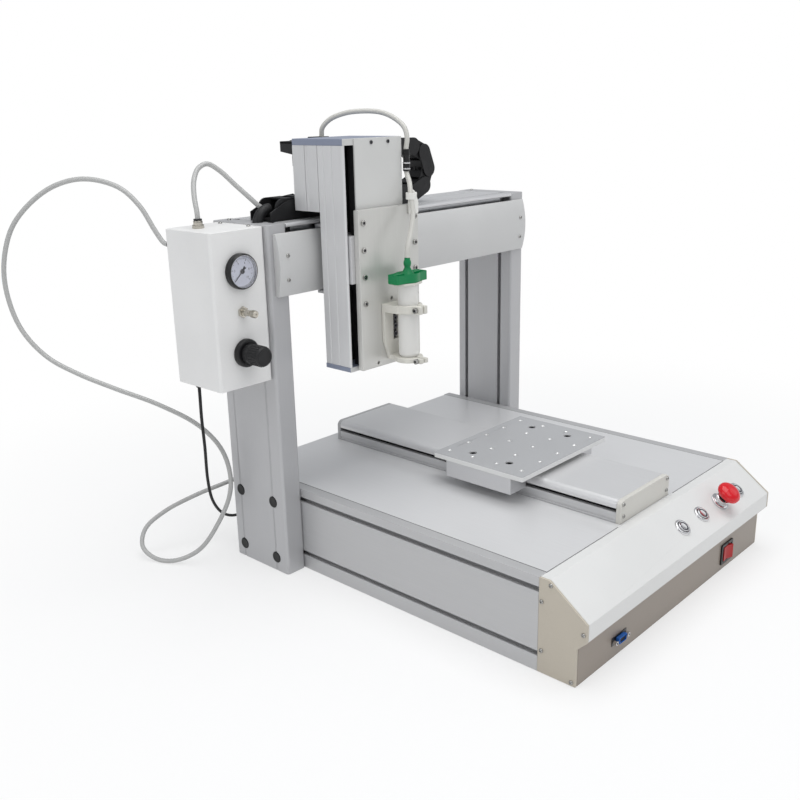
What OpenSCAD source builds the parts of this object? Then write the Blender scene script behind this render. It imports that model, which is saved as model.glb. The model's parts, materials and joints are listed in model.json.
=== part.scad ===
// Desktop dispensing robot: a bench-top gantry with a moving table, a cross axis, a vertical
// axis that carries a syringe, and a pneumatic control box on its left column.
// Millimetres. +X is the operator's right, +Y is the back, +Z is up.
// The origin is the middle of the flat underside of the base.

/* [Base] */
// Width of the base between the columns
base_w = 450; // [420:1:500]
// Depth of the base from the console's lip to the rear wall
base_d = 556; // [540:1:600]
// Height of the deck above the bench
base_h = 112; // [108:0.5:118]
// Thickness of each side profile
side_t = 14; // [12:0.5:16]
// Thickness of the deck plate
deck_t = 5; // [4:0.5:6]
// Sheet thickness of the tray, the console and the beam cover
sheet_t = 1.5; // [1.2:0.1:2]
// Height of the lower slot in the side profiles
slot_low_z = 21.5; // [18:0.5:26]
// Height of the upper slot in the side profiles
slot_high_z = 97.5; // [90:0.5:99]
// Width of the slots in the side profiles and the columns
slot_w = 6; // [5:0.5:7]

/* [Console] */
// Depth of the front console from its lip to the side profiles
console_d = 60; // [56:1:66]
// Overhang of the lip in front of the lower face
lip_over = 12; // [9:1:14]
// Height of the lip's lower corner
lip_low_z = 57; // [54:0.5:62]
// Height of the lip's upper corner
lip_high_z = 77; // [74:0.5:82]
// Depth at which the sloping panel reaches deck height
slope_d = 47; // [42:1:50]
// Thickness of each cheek plate
cheek_t = 3; // [2:0.5:4]
// Distance between the controls on the sloping panel
control_pitch = 50; // [46:1:54]
// Place across the base of the first push button
control_x = 18; // [10:1:22]
// Diameter of a push button's bezel
bezel_d = 22; // [20:0.5:25]
// Diameter of a push button's cap
button_d = 14; // [12:0.5:15]
// Travel of a push button
button_travel = 2.5; // [2:0.5:3]
// Diameter of the emergency stop's head
estop_d = 30; // [28:1:36]
// Width of the rocker switch
rocker_w = 32; // [29:0.5:36]
// Height of the rocker switch
rocker_h = 28; // [25:0.5:30]

/* [Gantry] */
// Width of a column, front to back
col_w = 105; // [100:1:115]
// Thickness of a column, side to side
col_t = 30; // [28:1:34]
// Height of the columns and the top of the beam
col_h = 452; // [440:1:480]
// Distance from the base's rear wall to the back of the columns
col_back = 21; // [18:1:26]
// Distance of the front column slot from the column's front
col_slot_in = 22; // [18:1:25]
// Distance between the two slots of a column
col_slot_pitch = 66; // [60:1:70]
// Diameter of the black plugs over the column bolts
plug_d = 15; // [12:0.5:17]
// Height of the beam
beam_h = 90; // [88:1:94]
// Depth of the beam
beam_d = 100; // [94:1:100]
// Wall thickness of the beam
beam_wall = 5; // [4:0.5:5]
// Height of the curved front cover
cover_h = 75; // [72:0.5:76]
// Distance of the cover's edges in front of the columns
cover_edge = 5; // [4:0.5:7]
// Bulge of the cover between its edges
cover_bulge = 6; // [4:0.5:8]
// Distance of the cover's ends from the outer faces of the columns
cover_in = 8; // [5:1:10]
// Height of the upper slot that the carriage arm runs in
arm_slot = 5.5; // [5:0.1:6]
// Diameter of the three drive screws
screw_d = 12; // [10:0.5:14]
// Diameter of the journals at the ends of the screws
journal_d = 8; // [6:0.5:9]
// Radial running clearance of the screws in nuts and bearings
run_gap = 0.05; // [0.03:0.01:0.08]
// Width of the linear rails
rail_w = 15; // [12:1:16]
// Height of the linear rails
rail_h = 10; // [9:0.5:11]
// Clearance between a guide and what runs on it
guide_gap = 0.4; // [0.3:0.05:0.6]
// Side of the stepper motors
motor_w = 42; // [40:0.5:43]
// Length of the stepper motors
motor_l = 44; // [38:1:44]

/* [Table axis] */
// Width of the table axis
ymod_w = 117; // [110:1:124]
// Distance from the table axis to the rear of the base
ymod_back = 21; // [16:1:29]
// Height of the table axis above the deck
ymod_h = 28; // [27:0.5:32]
// Depth of the table axis below the deck
ymod_drop = 46; // [44:1:50]
// Thickness of the end plates
end_t = 6; // [5:0.5:8]
// Height of the gap that the table's arms run in
ygap = 5; // [4.6:0.1:6]
// Height of the cover above that gap
ycover_h = 10; // [9:0.5:11]
// Size of the table plate across the base
table_w = 190; // [180:1:210]
// Size of the table plate front to back
table_d = 140; // [130:1:150]
// Thickness of the table plate
table_t = 7; // [6:0.5:10]
// Clearance of the table plate above the cover
table_gap = 6; // [5:0.5:8]
// Place of the table's middle along the base
table_y = -33; // [-43:1:-23]
// Hole pitch of the table plate across the base
hole_px = 39; // [36:1:41]
// Hole pitch of the table plate front to back
hole_py = 38; // [34:1:40]
// Diameter of the table plate's threaded holes
hole_d = 4.2; // [3.3:0.1:5]

/* [Head] */
// Place of the vertical axis across the base
head_x = -135; // [-140:1:-120]
// Width of the vertical axis
head_w = 114; // [110:1:120]
// Depth of the vertical axis
head_d = 44; // [42:0.5:48]
// Length of the vertical profile
head_l = 262; // [250:1:275]
// Height of the vertical profile above the beam's top
head_up = 88; // [84:1:94]
// Clearance between the beam cover and the vertical axis
head_gap = 12; // [10:1:14]
// Depth of the motor housing behind the vertical profile
housing_d = 43; // [42:0.5:44]
// Height of the motor housing
housing_h = 77; // [74:1:80]
// Thickness of the top plate
top_cap_t = 7.5; // [6:0.5:9]
// Thickness of the bottom cap
low_cap_t = 6; // [5:0.5:8]
// Width of the front cover between the two slots
zcover_w = 80; // [76:1:84]
// Height of the slider that shows in the slots
slider_h = 57; // [52:1:62]
// Height of the slider's middle
slider_z = 409; // [404:1:414]
// Height of the tool plate
plate_h = 193; // [185:1:200]
// Thickness of the tool plate
plate_t = 8; // [6:0.5:10]
// Distance of the syringe's axis to the right of the head's middle
syringe_dx = 7; // [4:1:10]
// Distance of the syringe's axis in front of the tool plate
syringe_dy = 26; // [24:0.5:28]
// Outer diameter of the syringe barrel
barrel_d = 25; // [23:0.5:27]
// Length of the barrel above the lower ring
barrel_l = 88; // [82:1:92]
// Thickness of the bracket's rings and back plate
ring_t = 10; // [8:0.5:11]
// Thickness of the lower bracket ring
ring_low_t = 6; // [5:0.5:8]
// Distance between the middles of the two rings
ring_pitch = 65; // [60:1:68]

/* [Drag chain] */
// Distance between the pins of a link
link_p = 24; // [23.4:0.2:26]
// Height of a link
link_h = 23; // [20:0.5:23]
// Width of the chain
link_w = 34; // [30:0.5:35]
// Thickness of a link's side plate
link_t = 2.5; // [2:0.1:3]

/* [Control box] */
// Width of the control box
box_w = 78; // [74:1:84]
// Depth of the control box
box_d = 86; // [80:1:90]
// Height of the control box
box_h = 186; // [180:1:196]
// Height of the box's underside above the bench
box_z = 265; // [255:1:268]
// Distance of the box's front behind the column's front
box_back = 6; // [4:1:10]
// Height of the gauge above the box's underside
gauge_z = 139; // [134:1:144]
// Diameter of the gauge's bezel
gauge_d = 42; // [40:0.5:44]
// Height of the needle valve above the box's underside
valve_z = 91; // [86:1:95]
// Height of the regulator above the box's underside
reg_z = 42; // [38:1:46]
// Diameter of the regulator's panel ring
reg_ring_d = 34; // [32:0.5:36]
// Diameter of the regulator's knob
reg_knob_d = 25; // [23:0.5:27]
// Diameter of the air tubes
tube_d = 6; // [5:0.5:6.5]
// Diameter of the box cable
cable_d = 4; // [3.5:0.1:4.5]

/* [Hidden] */
$fn = 48;
eps = 0.01;

// Base and console
hw = base_w / 2;
front_y = -base_d / 2;
rear_y = base_d / 2;
face_y = front_y + lip_over;
cheek_y = front_y + console_d;
slope_y = front_y + slope_d;
chamfer_z = lip_low_z - lip_over;
slope_a = atan2(base_h - lip_high_z, slope_d);
slope_len = norm([slope_d, base_h - lip_high_z]);
slope_mid = slope_len * 0.45;
slot_depth = 8;
ledge_w = 8;
ledge_t = 4;
deck_gap = 0.5;
deck_hw = hw - side_t - deck_gap;
tray_hw = hw - side_t;
estop_x = control_x + 2 * control_pitch;
button_xs = [control_x, control_x + control_pitch, control_x + 3 * control_pitch];
barrel_nut_d = 16;
barrel_nut_l = 14;
bezel_t = 2.5;
button_gap = 0.35;
button_up = 3;
collar_d = 24;
collar_t = 9;
stem_d = 10;
stem_up = 20;
estop_travel = 5;
head_dome = 8;
head_rim = 8;
rocker_x = 130;
rocker_z = 22;
rocker_frame = 4;
rocker_gap = 0.5;
rocker_out = 3;
rocker_in = 14;
rocker_axis_y = face_y + 3;
pin_d = 3;
pin_hh = rocker_h / 2 - rocker_frame + 1;
rocker_tilt = 8;
socket_x = -139;
socket_z = 20.5;
inlet_x = 120;
inlet_z = 40;
inlet_w = 48;
inlet_h = 27;

// Gantry
col_y1 = rear_y - col_back;
col_y0 = col_y1 - col_w;
col_slot_ys = [col_y0 + col_slot_in, col_y0 + col_slot_in + col_slot_pitch];
plug_zs = [19, slot_high_z];
plug_depth = 8;
plug_t = 2.5;
plug_gap = 0.05;
edge_r = 4;
beam_z = col_h - beam_h;
beam_y1 = col_y0 + beam_d;
beam_lip = 16;
cover_z1 = col_h - beam_wall - arm_slot;
cover_z0 = cover_z1 - cover_h;
cover_zc = (cover_z0 + cover_z1) / 2;
cover_y = col_y0 - cover_edge - cover_bulge;
cover_r = (pow(cover_h / 2, 2) + pow(cover_bulge, 2)) / (2 * cover_bulge);
cover_hl = hw + col_t - cover_in;
cover_screw_in = 13;
rail_y = col_y0 + 18;
rail_z = col_h - beam_wall - rail_h;
xs_y = col_y0 + 9 + motor_w / 2;
xs_z = beam_z + beam_wall + 3 + motor_w / 2;
xmotor_x = hw - motor_l;
block_t = 10;

// Table axis
ym_y0 = cheek_y + 2;
ym_y1 = rear_y - ymod_back;
ym_hw = ymod_w / 2;
ym_z0 = base_h - ymod_drop;
ym_top = base_h + ymod_h;
ym_wall = 6;
ygap_z = ym_top - ycover_h - ygap;
ycover_t = 2;
ycover_r = 8;
ys_z = ym_z0 + ym_wall + 3 + motor_w / 2;
ymotor_y = ym_y1 - end_t - motor_l;
yrail_x = 35;
yrail_z = ym_z0 + ym_wall;
table_z = ym_top + table_gap;
arm_t = ygap - 1;
arm_half = 40;
block_in = 1.5;
block_half = 51;
slab_hw = ym_hw - ym_wall - 3;
slab_half = 45;
big_px = 131;
big_py = 57.5;

// Head
head_hw = head_w / 2;
zr_y = cover_y - head_gap;
zf_y = zr_y - head_d;
zp_z1 = col_h + head_up;
zp_z0 = zp_z1 - head_l;
head_wall = 3;
head_back = 9;
zcover_t = 2;
zcover_lip = 10;
zplate_gap = 2;
zplate_y = zf_y - zcover_t - zplate_gap - plate_t;
zplate_z0 = zp_z0 - 4;
way_w = 10;
way_h = 8;
way_x = 27;
slider_y0 = zf_y + zcover_lip + 1.5;
slider_y1 = zr_y - head_back - 1;
slider_in = 1.5;
slider_out = 1;
zs_y = (slider_y0 + slider_y1) / 2 - 1.5;
zs_d = screw_d - 2;
arm_plate_t = 4;
xc_half = 40;
syr_x = head_x + syringe_dx;
syr_y = zplate_y - syringe_dy;
ring_z0 = zplate_z0 + 8;
ring_z1 = ring_z0 + ring_pitch;
barrel_z0 = ring_z0 + ring_t / 2;
barrel_z1 = barrel_z0 + barrel_l;
bracket_hw = 20;
bracket_back = 5;
bracket_low_hw = 11;
bracket_taper = 25;
ear_w = 14;
ear_l = 13;
slit_w = 2.5;
clamp_y = syr_y - barrel_d / 2 - ear_l / 2 - 0.6;
cap_l = 44;
cap_w = 20;
cap_h = 13;
cap_stem_d = 8;
cap_stem_h = 20;

// Drag chain
chain_y = col_y0 + 42;
tray_t = 2;
tray_floor = col_h;
chain_low_z = tray_floor + tray_t + 1 + link_h / 2;
link_r = link_p / (2 * sin(22.5));
chain_high_z = chain_low_z + 2 * link_r;
chain_bend_x = 33;
low_links = 10;
bend_links = 4;
high_links = 6;
link_gap = 0.3;
plate_hw = link_w / 2;
bar_t = 2.5;
bar_l = 8;
chain_x0 = chain_bend_x - low_links * link_p;
chain_x1 = chain_bend_x - high_links * link_p;
conduit_d = 13;
conduit_r = 19;
conduit_x = chain_x0 - link_h / 2 - 0.5;
conduit_y = chain_y - 4.5;

// Control box
box_x1 = -hw - col_t;
box_x0 = box_x1 - box_w;
box_xc = (box_x0 + box_x1) / 2;
box_y0 = col_y0 + box_back;
box_y1 = box_y0 + box_d;
box_z1 = box_z + box_h;
gauge_out = 9;
gauge_in = 24;
dial_deep = 5;
lens_t = 1.2;
needle_t = 0.6;
reg_out = 7;
reg_in = 40;
spindle_d = 9;
spindle_l = 24;
reg_knob_l = 29;
reg_pull = 4;
valve_d = 8;
valve_out = 13;
valve_knob_d = 9;
valve_knob_l = 12;
fit_d = 12;
fit_l = 11;
gland_d = 9;
gland_l = 8;

// Ends of the free cords: where each one leaves its fitting
feed_exit = [box_x0 + 24, box_y0 + 52, box_z1 + fit_l];
supply_exit = [box_x0 + 13, box_y1 + fit_l, box_z + 165];
supply_end = [-hw + 30, rear_y + fit_l, 84];
cable_exit = [box_x0 + 16, box_y0 + 67, box_z - gland_l];
cable_end = [-hw + 30, rear_y + gland_l, 30];
tube_b_exit = [head_x + 5, chain_y - 8, chain_high_z + link_h / 2 + 7];
stem_top = [syr_x, syr_y, barrel_z1 + cap_h + cap_stem_h];
head_at = [head_x, zplate_y, zp_z1];
coupling_at = head_at + [45, 7, -21];
coupling_d = 9;
coupling_l = 26;
clip_at = [head_x + 33, zplate_y - 10, zplate_z0 + plate_h + 11];

// Routes of the free cords
SUPPLY = [supply_exit, [-320, 267, 430], [-323, 279, 445], [-330, 296, 474], [-341, 321, 496],
    [-364, 360, 506], [-388, 393, 497], [-412, 419, 473], [-428, 435, 445], [-440, 441, 402],
    [-442, 437, 362], [-436, 424, 322], [-419, 402, 288], [-394, 377, 265], [-363, 345, 244],
    [-326, 307, 221], [-293, 270, 192], [-275, 250, 160], [-270, 241, 126], [-273, 241, 96],
    [-287, 251, 58], [-309, 268, 21], [-331, 293, 5], [-345, 320, 4], [-349, 344, 16],
    [-335, 356, 34], [-306, 351, 51], [-268, 333, 67], [-230, 315, 78], [-201, 306, 83],
    [-195, 301, 84], supply_end];
CABLE = [cable_exit, [-317, 225, 248], [-312, 233, 215], [-302, 246, 170], [-293, 259, 118],
    [-280, 271, 82], [-259, 283, 54], [-236, 293, 38], [-213, 299, 31], [-199, 297, 30],
    [-195, 292, 30], cable_end];
FEED = [feed_exit, [-309, 210, 468], [-304, 220, 486], [-294, 232, 504], [-281, 239, 517],
    [-268, 239, 521], [-256, 233, 513], [-243, 220, 495], [-232, 207, 479], [-225, 201, 470],
    [chain_x0 - link_h / 2 - 0.5, chain_y + 6, chain_low_z]];
SYRINGE = [tube_b_exit, tube_b_exit + [0, 0, 8], head_at + [10, 105, 27], head_at + [22, 87, 35],
    head_at + [35, 67, 37], head_at + [44, 46, 35], head_at + [47, 27, 28], head_at + [47, 11, 17],
    head_at + [46, 7, 5], coupling_at + [0, 0, coupling_l / 2 + 4], coupling_at,
    coupling_at - [0, 0, coupling_l / 2 + 4], (coupling_at + clip_at) / 2 + [0, 0, -6],
    clip_at + [0, 0, 5], clip_at - [0, 0, 5], clip_at + [-4, -6, -22], clip_at + [-15, -12, -42],
    stem_top + [2, 0.5, 14], stem_top + [0, 0, 8], stem_top];
cord_side = [0.68, 0.73, 0];
cord_sides = 8;

// Helpers

// A box between two corners
module block(a, b) {
    translate(a) cube(b - a);
}

// A cylinder along X from x = a to x = b
module rod_x(d, a, b) {
    translate([a, 0, 0]) rotate([0, 90, 0]) cylinder(d = d, h = b - a);
}

// A cylinder along Y from y = a to y = b
module rod_y(d, a, b) {
    translate([0, a, 0]) rotate([-90, 0, 0]) cylinder(d = d, h = b - a);
}

// A flat rectangle with round corners, its lower left corner at the origin
module round_rect(w, h, r) {
    translate([r, 0]) square([w - 2 * r, h]);
    translate([0, r]) square([w, h - 2 * r]);
    for (x = [r, w - r], y = [r, h - r])
        translate([x, y]) circle(r);
}

// A profile drawn as (y, z) and extruded along X from a to b
module along_x(a, b) {
    translate([a, 0, 0]) rotate([90, 0, 90]) linear_extrude(b - a) children();
}

// A profile drawn as (x, z) and extruded along Y from a to b
module along_y(a, b) {
    translate([0, b, 0]) rotate([90, 0, 0]) linear_extrude(b - a) children();
}

// Places its children on the sloping panel, with +Z out of the panel
module on_slope(x) {
    translate([x, front_y, lip_high_z]) rotate([slope_a, 0, 0])
        translate([0, slope_mid, 0]) children();
}

// Mirrors its children to both sides of the YZ plane
module both_sides() {
    children();
    mirror([1, 0, 0]) children();
}

// A round tube swept along hand-placed points
module tube(path, d) {
    n = len(path);
    tang = [for (i = [0:n - 1])
        let (v = path[min(i + 1, n - 1)] - path[max(i - 1, 0)]) v / norm(v)];
    rings = [for (i = [0:n - 1])
        let (c = cross(cord_side, tang[i]), u = c / norm(c), w = cross(tang[i], u))
        for (k = [0:cord_sides - 1])
            path[i] + d / 2 * (cos(k * 360 / cord_sides) * u + sin(k * 360 / cord_sides) * w)];
    walls = [for (i = [0:n - 2], k = [0:cord_sides - 1])
        let (a = i * cord_sides, b = a + cord_sides, m = (k + 1) % cord_sides)
        for (f = [[a + k, b + k, b + m], [a + k, b + m, a + m]]) f];
    ends = [[for (k = [0:cord_sides - 1]) k],
        [for (k = [cord_sides - 1:-1:0]) (n - 1) * cord_sides + k]];
    polyhedron(points = rings, faces = concat(walls, ends), convexity = 8);
}

// Base

// Cross-section of the left side profile as (x, z): outer slots and an inner ledge for the deck
module side_section() {
    difference() {
        union() {
            translate([-hw, 0]) square([side_t, base_h]);
            translate([-hw, base_h - deck_t - ledge_t]) square([side_t + ledge_w, ledge_t]);
        }
        for (z = [slot_low_z, slot_high_z]) {
            translate([-hw - 1, z - slot_w / 2]) square([slot_depth + 1, slot_w]);
            translate([-hw + 3, z - slot_w]) square([slot_depth - 3, 2 * slot_w]);
        }
    }
}

module side_profiles() {
    color([0.80, 0.80, 0.81]) both_sides() along_y(cheek_y, rear_y) side_section();
}

module deck_plate() {
    color([0.82, 0.82, 0.83]) difference() {
        block([-deck_hw, cheek_y, base_h - deck_t], [deck_hw, rear_y - sheet_t - deck_gap, base_h]);
        block([-ym_hw - deck_gap, ym_y0 - deck_gap, base_h - deck_t - 1],
            [ym_hw + deck_gap, ym_y1 + deck_gap, base_h + 1]);
    }
}

// Bottom sheet with the rear wall bent up, and the holes in that wall
module base_tray() {
    color([0.72, 0.71, 0.69]) difference() {
        union() {
            block([-tray_hw, face_y + sheet_t, 0], [tray_hw, rear_y, sheet_t]);
            block([-tray_hw, rear_y - sheet_t, 0], [tray_hw, rear_y, base_h - deck_t - ledge_t - 1]);
            for (x = [-tray_hw, tray_hw - 12])
                block([x, face_y + sheet_t, 0], [x + 12, cheek_y, 12]);
        }
        translate([supply_end[0], 0, supply_end[2]]) rod_y(fit_d - 2, rear_y - 5, rear_y + 5);
        translate([cable_end[0], 0, cable_end[2]]) rod_y(gland_d - 2, rear_y - 5, rear_y + 5);
        block([inlet_x - inlet_w / 2 + 9, rear_y - 5, inlet_z - inlet_h / 2 + 2],
            [inlet_x + inlet_w / 2 - 9, rear_y + 5, inlet_z + inlet_h / 2 - 2]);
        for (i = [0:8])
            block([-90 + 14 * i, rear_y - 5, 24], [-84 + 14 * i, rear_y + 5, 72]);
    }
}

// Console

// Outline of the console as (y, z)
module console_outline() {
    polygon([[front_y, lip_low_z], [face_y, chamfer_z], [face_y, 0], [cheek_y, 0],
        [cheek_y, base_h], [slope_y, base_h], [front_y, lip_high_z]]);
}

// The same outline moved inwards by a sheet's thickness, open at the back and the bottom
module console_hollow() {
    t = sheet_t;
    k = t * tan(slope_a / 2);
    polygon([[front_y + t, lip_low_z + t * 0.414], [face_y + t, chamfer_z + t * 0.414],
        [face_y + t, -1], [cheek_y + 1, -1], [cheek_y + 1, base_h - t], [slope_y + k, base_h - t],
        [front_y + t, lip_high_z - t / cos(slope_a) + t * tan(slope_a)]]);
}

module console_panel() {
    color([0.86, 0.86, 0.86]) difference() {
        along_x(-hw + cheek_t, hw - cheek_t) difference() {
            console_outline();
            console_hollow();
        }
        for (x = concat(button_xs, [estop_x]))
            on_slope(x) cylinder(d = barrel_nut_d, h = 20, center = true);
        block([rocker_x - rocker_w / 2 + 2, face_y - 5, rocker_z - rocker_h / 2 + 2],
            [rocker_x + rocker_w / 2 - 2, face_y + 5, rocker_z + rocker_h / 2 - 2]);
        translate([socket_x, 0, socket_z]) along_y(face_y - 5, face_y + 5) socket_shell(0.3);
    }
}

module console_cheeks() {
    color([0.80, 0.78, 0.74]) both_sides() along_x(-hw, -hw + cheek_t) console_outline();
}

// D-shaped outline of the serial port's shell, grown by g
module socket_shell(g) {
    polygon([[-8.5 - g, 4 + g], [8.5 + g, 4 + g], [7.2 + g, -4 - g], [-7.2 - g, -4 - g]]);
}

// The serial port on the console and the mains inlet on the rear wall
module panel_sockets() {
    color([0.25, 0.38, 0.60]) {
        translate([socket_x, 0, socket_z]) {
            along_y(face_y - 1.2, face_y) translate([-15.4, -6.2]) round_rect(30.8, 12.4, 1.5);
            along_y(face_y - 6, face_y + 8) socket_shell(0);
            for (s = [-12.5, 12.5])
                translate([s, 0, 0]) rod_y(5, face_y - 6, face_y - 1);
        }
        translate([inlet_x, 0, inlet_z]) difference() {
            union() {
                along_y(rear_y, rear_y + 3) translate([-inlet_w / 2, -inlet_h / 2])
                    round_rect(inlet_w, inlet_h, 4);
                block([-inlet_w / 2 + 9.4, rear_y - 22, -inlet_h / 2 + 2.4],
                    [inlet_w / 2 - 9.4, rear_y + 1, inlet_h / 2 - 2.4]);
            }
            block([-inlet_w / 2 + 12, rear_y - 14, -inlet_h / 2 + 5],
                [inlet_w / 2 - 12, rear_y + 4, inlet_h / 2 - 5]);
        }
    }
}

module rocker_bezel() {
    fw = rocker_w / 2;
    fh = rocker_h / 2;
    color([0.06, 0.06, 0.06]) translate([rocker_x, 0, rocker_z]) difference() {
        union() {
            along_y(face_y - 2, face_y) translate([-fw, -fh]) round_rect(rocker_w, rocker_h, 1.5);
            block([-fw + 2.3, face_y - 1, -fh + 2.3], [fw - 2.3, face_y + rocker_in + 6, fh - 2.3]);
        }
        block([-fw + rocker_frame, face_y - 3, -fh + rocker_frame],
            [fw - rocker_frame, face_y + rocker_in, fh - rocker_frame]);
        translate([0, rocker_axis_y, -pin_hh - 0.2]) cylinder(d = pin_d + 2 * run_gap, h = 2 * pin_hh + 0.4);
    }
}

// Red rocker: two faces that meet at a shallow angle, tilted about its upright pin
module rocker() {
    iw = rocker_w / 2 - rocker_frame - rocker_gap - 1.2;
    ih = rocker_h / 2 - rocker_frame - rocker_gap;
    y0 = -rocker_out - 3;
    color([0.75, 0.05, 0.04]) translate([rocker_x, rocker_axis_y, rocker_z]) rotate([0, 0, -rocker_tilt]) {
        translate([0, 0, -ih]) linear_extrude(2 * ih) polygon([[-iw, y0 - 1.5], [0, y0 + 1], [iw, y0 - 1.5],
            [iw - 2, 3], [-iw + 2, 3]]);
        translate([0, 0, -pin_hh]) cylinder(d = pin_d, h = 2 * pin_hh);
    }
}

// Three button bezels and the emergency stop's collar, each with its threaded barrel
module panel_bezels() {
    color([0.75, 0.75, 0.76]) {
        for (x = button_xs)
            on_slope(x) difference() {
                union() {
                    cylinder(d = bezel_d, h = bezel_t);
                    translate([0, 0, -barrel_nut_l]) cylinder(d = barrel_nut_d - 0.2, h = barrel_nut_l);
                }
                translate([0, 0, -barrel_nut_l + 2]) cylinder(d = button_d + 2 * button_gap, h = 40);
            }
        on_slope(estop_x) difference() {
            union() {
                cylinder(d = collar_d, h = collar_t);
                translate([0, 0, -barrel_nut_l]) cylinder(d = barrel_nut_d - 0.2, h = barrel_nut_l);
            }
            translate([0, 0, -barrel_nut_l + 2]) cylinder(d = stem_d + 2 * button_gap, h = 40);
        }
    }
}

// A push button's cap, with a shallow dish
module button(x) {
    color([0.85, 0.85, 0.86]) on_slope(x) difference() {
        translate([0, 0, -6]) cylinder(d = button_d, h = 6 + bezel_t + button_up - 1.5);
        translate([0, 0, bezel_t + button_up - 1.5 + 59.6]) sphere(r = 60, $fn = 96);
    }
}

module button_left() {
    button(button_xs[0]);
}

module button_middle() {
    button(button_xs[1]);
}

module button_right() {
    button(button_xs[2]);
}

// Stem that slides in the collar and carries the turning head
module estop_stem() {
    color([0.45, 0.45, 0.45]) on_slope(estop_x) {
        translate([0, 0, -5]) cylinder(d = stem_d, h = 5 + stem_up);
        translate([0, 0, stem_up - eps]) cylinder(d = stem_d - 4, h = 5);
    }
}

module estop_head() {
    rim_z = collar_t + estop_travel + 1;
    color([0.78, 0.05, 0.04]) on_slope(estop_x) difference() {
        rotate_extrude() polygon(concat(
            [[0, rim_z], [estop_d / 2 - 1.5, rim_z], [estop_d / 2, rim_z + 1.5],
                [estop_d / 2, rim_z + head_rim - 3]],
            [for (a = [0:10:90]) [(estop_d / 2) * cos(a), rim_z + head_rim - 3 + head_dome * sin(a)]]));
        translate([0, 0, rim_z - 1]) cylinder(d = stem_d + 0.7, h = stem_up - rim_z + 1.3);
        translate([0, 0, rim_z - 1]) cylinder(d = stem_d - 4 + 2 * run_gap, h = stem_up - rim_z + 6.5);
    }
}

// Columns and beam

// Cross-section of the left column as (x, y): rounded edges, slots inside and lines outside
module column_section() {
    difference() {
        translate([-hw - col_t, col_y0]) round_rect(col_t, col_w, edge_r);
        for (y = col_slot_ys) {
            translate([-hw - slot_depth, y - slot_w / 2]) square([slot_depth + 1, slot_w]);
            translate([-hw - slot_depth, y - slot_w]) square([slot_depth - 3, 2 * slot_w]);
            translate([-hw - col_t - 1, y - 1]) square([1.6, 2]);
        }
    }
}

module column() {
    difference() {
        linear_extrude(col_h) column_section();
        for (y = col_slot_ys, z = plug_zs)
            translate([0, y, z]) rod_x(plug_d, -hw - col_t - 1, -hw - col_t + plug_depth);
    }
}

module left_column() {
    color([0.78, 0.78, 0.79]) difference() {
        column();
        translate([conduit_x - conduit_r, conduit_y, col_h - 30]) cylinder(d = conduit_d + 1, h = 40);
    }
}

module right_column() {
    color([0.78, 0.78, 0.79]) mirror([1, 0, 0]) column();
}

module column_plugs() {
    color([0.08, 0.08, 0.08]) both_sides()
        for (y = col_slot_ys, z = plug_zs)
            translate([0, y, z]) rod_x(plug_d - 2 * plug_gap, -hw - col_t - 0.6,
                -hw - col_t + plug_depth);
}

// Open-fronted beam: top wall with lengthwise lines, rear wall and bottom wall, as (y, z)
module beam_section() {
    difference() {
        union() {
            translate([col_y0 + beam_wall / 2, col_h - beam_wall])
                square([beam_d - beam_wall / 2, beam_wall]);
            translate([col_y0 + beam_wall / 2, col_h - beam_wall / 2]) circle(d = beam_wall);
            translate([beam_y1 - beam_wall, beam_z]) square([beam_wall, beam_h]);
            translate([col_y0 + beam_lip, beam_z]) square([beam_d - beam_lip, beam_wall]);
        }
        for (y = [16, 21, 64, 78, 92])
            translate([col_y0 + y, col_h - 1]) square([2, 2]);
    }
}

module beam_profile() {
    color([0.80, 0.80, 0.81]) along_x(-hw, hw) beam_section();
}

// Half of the arc that bounds the cover's front, less t, as (y, z)
module cover_arc(t) {
    intersection() {
        translate([cover_y + cover_r, cover_zc]) circle(r = cover_r - t, $fn = 200);
        translate([cover_y - 1, cover_z0 + t]) square([col_y0 - cover_y + 1, cover_h - 2 * t]);
    }
}

// Curved sheet cover in front of the beam, closed by D-shaped ends, fixed on the columns
module beam_cover() {
    color([0.84, 0.84, 0.83]) {
        along_x(-cover_hl, cover_hl) difference() {
            cover_arc(0);
            cover_arc(sheet_t);
        }
        both_sides() along_x(-cover_hl, -cover_hl + sheet_t) cover_arc(sheet_t / 2);
    }
}

// Guide rails of the cross axis and the table axis
module linear_rails() {
    color([0.62, 0.63, 0.65]) {
        block([-hw + 15, rail_y - rail_w / 2, rail_z], [hw - 15, rail_y + rail_w / 2, rail_z + rail_h]);
        both_sides() block([yrail_x - rail_w / 2, ym_y0 + end_t + 5, yrail_z],
            [yrail_x + rail_w / 2, ymotor_y - 5, yrail_z + rail_h]);
    }
}

// A stepper motor along +X, its front face at x = 0, with the bore that takes the screw's journal
module motor() {
    difference() {
        union() {
            along_x(0, 10) translate([-motor_w / 2, -motor_w / 2]) round_rect(motor_w, motor_w, 3);
            along_x(10 - eps, motor_l - 10) translate([-motor_w / 2 + 1, -motor_w / 2 + 1])
                round_rect(motor_w - 2, motor_w - 2, 6);
            along_x(motor_l - 10 - eps, motor_l) translate([-motor_w / 2, -motor_w / 2])
                round_rect(motor_w, motor_w, 3);
        }
        rod_x(journal_d + 2 * run_gap, -1, 24);
    }
}

module stepper_motors() {
    color([0.12, 0.12, 0.13]) {
        translate([xmotor_x, xs_y, xs_z]) motor();
        translate([0, ymotor_y, ys_z]) rotate([0, 0, 90]) motor();
    }
}

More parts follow.
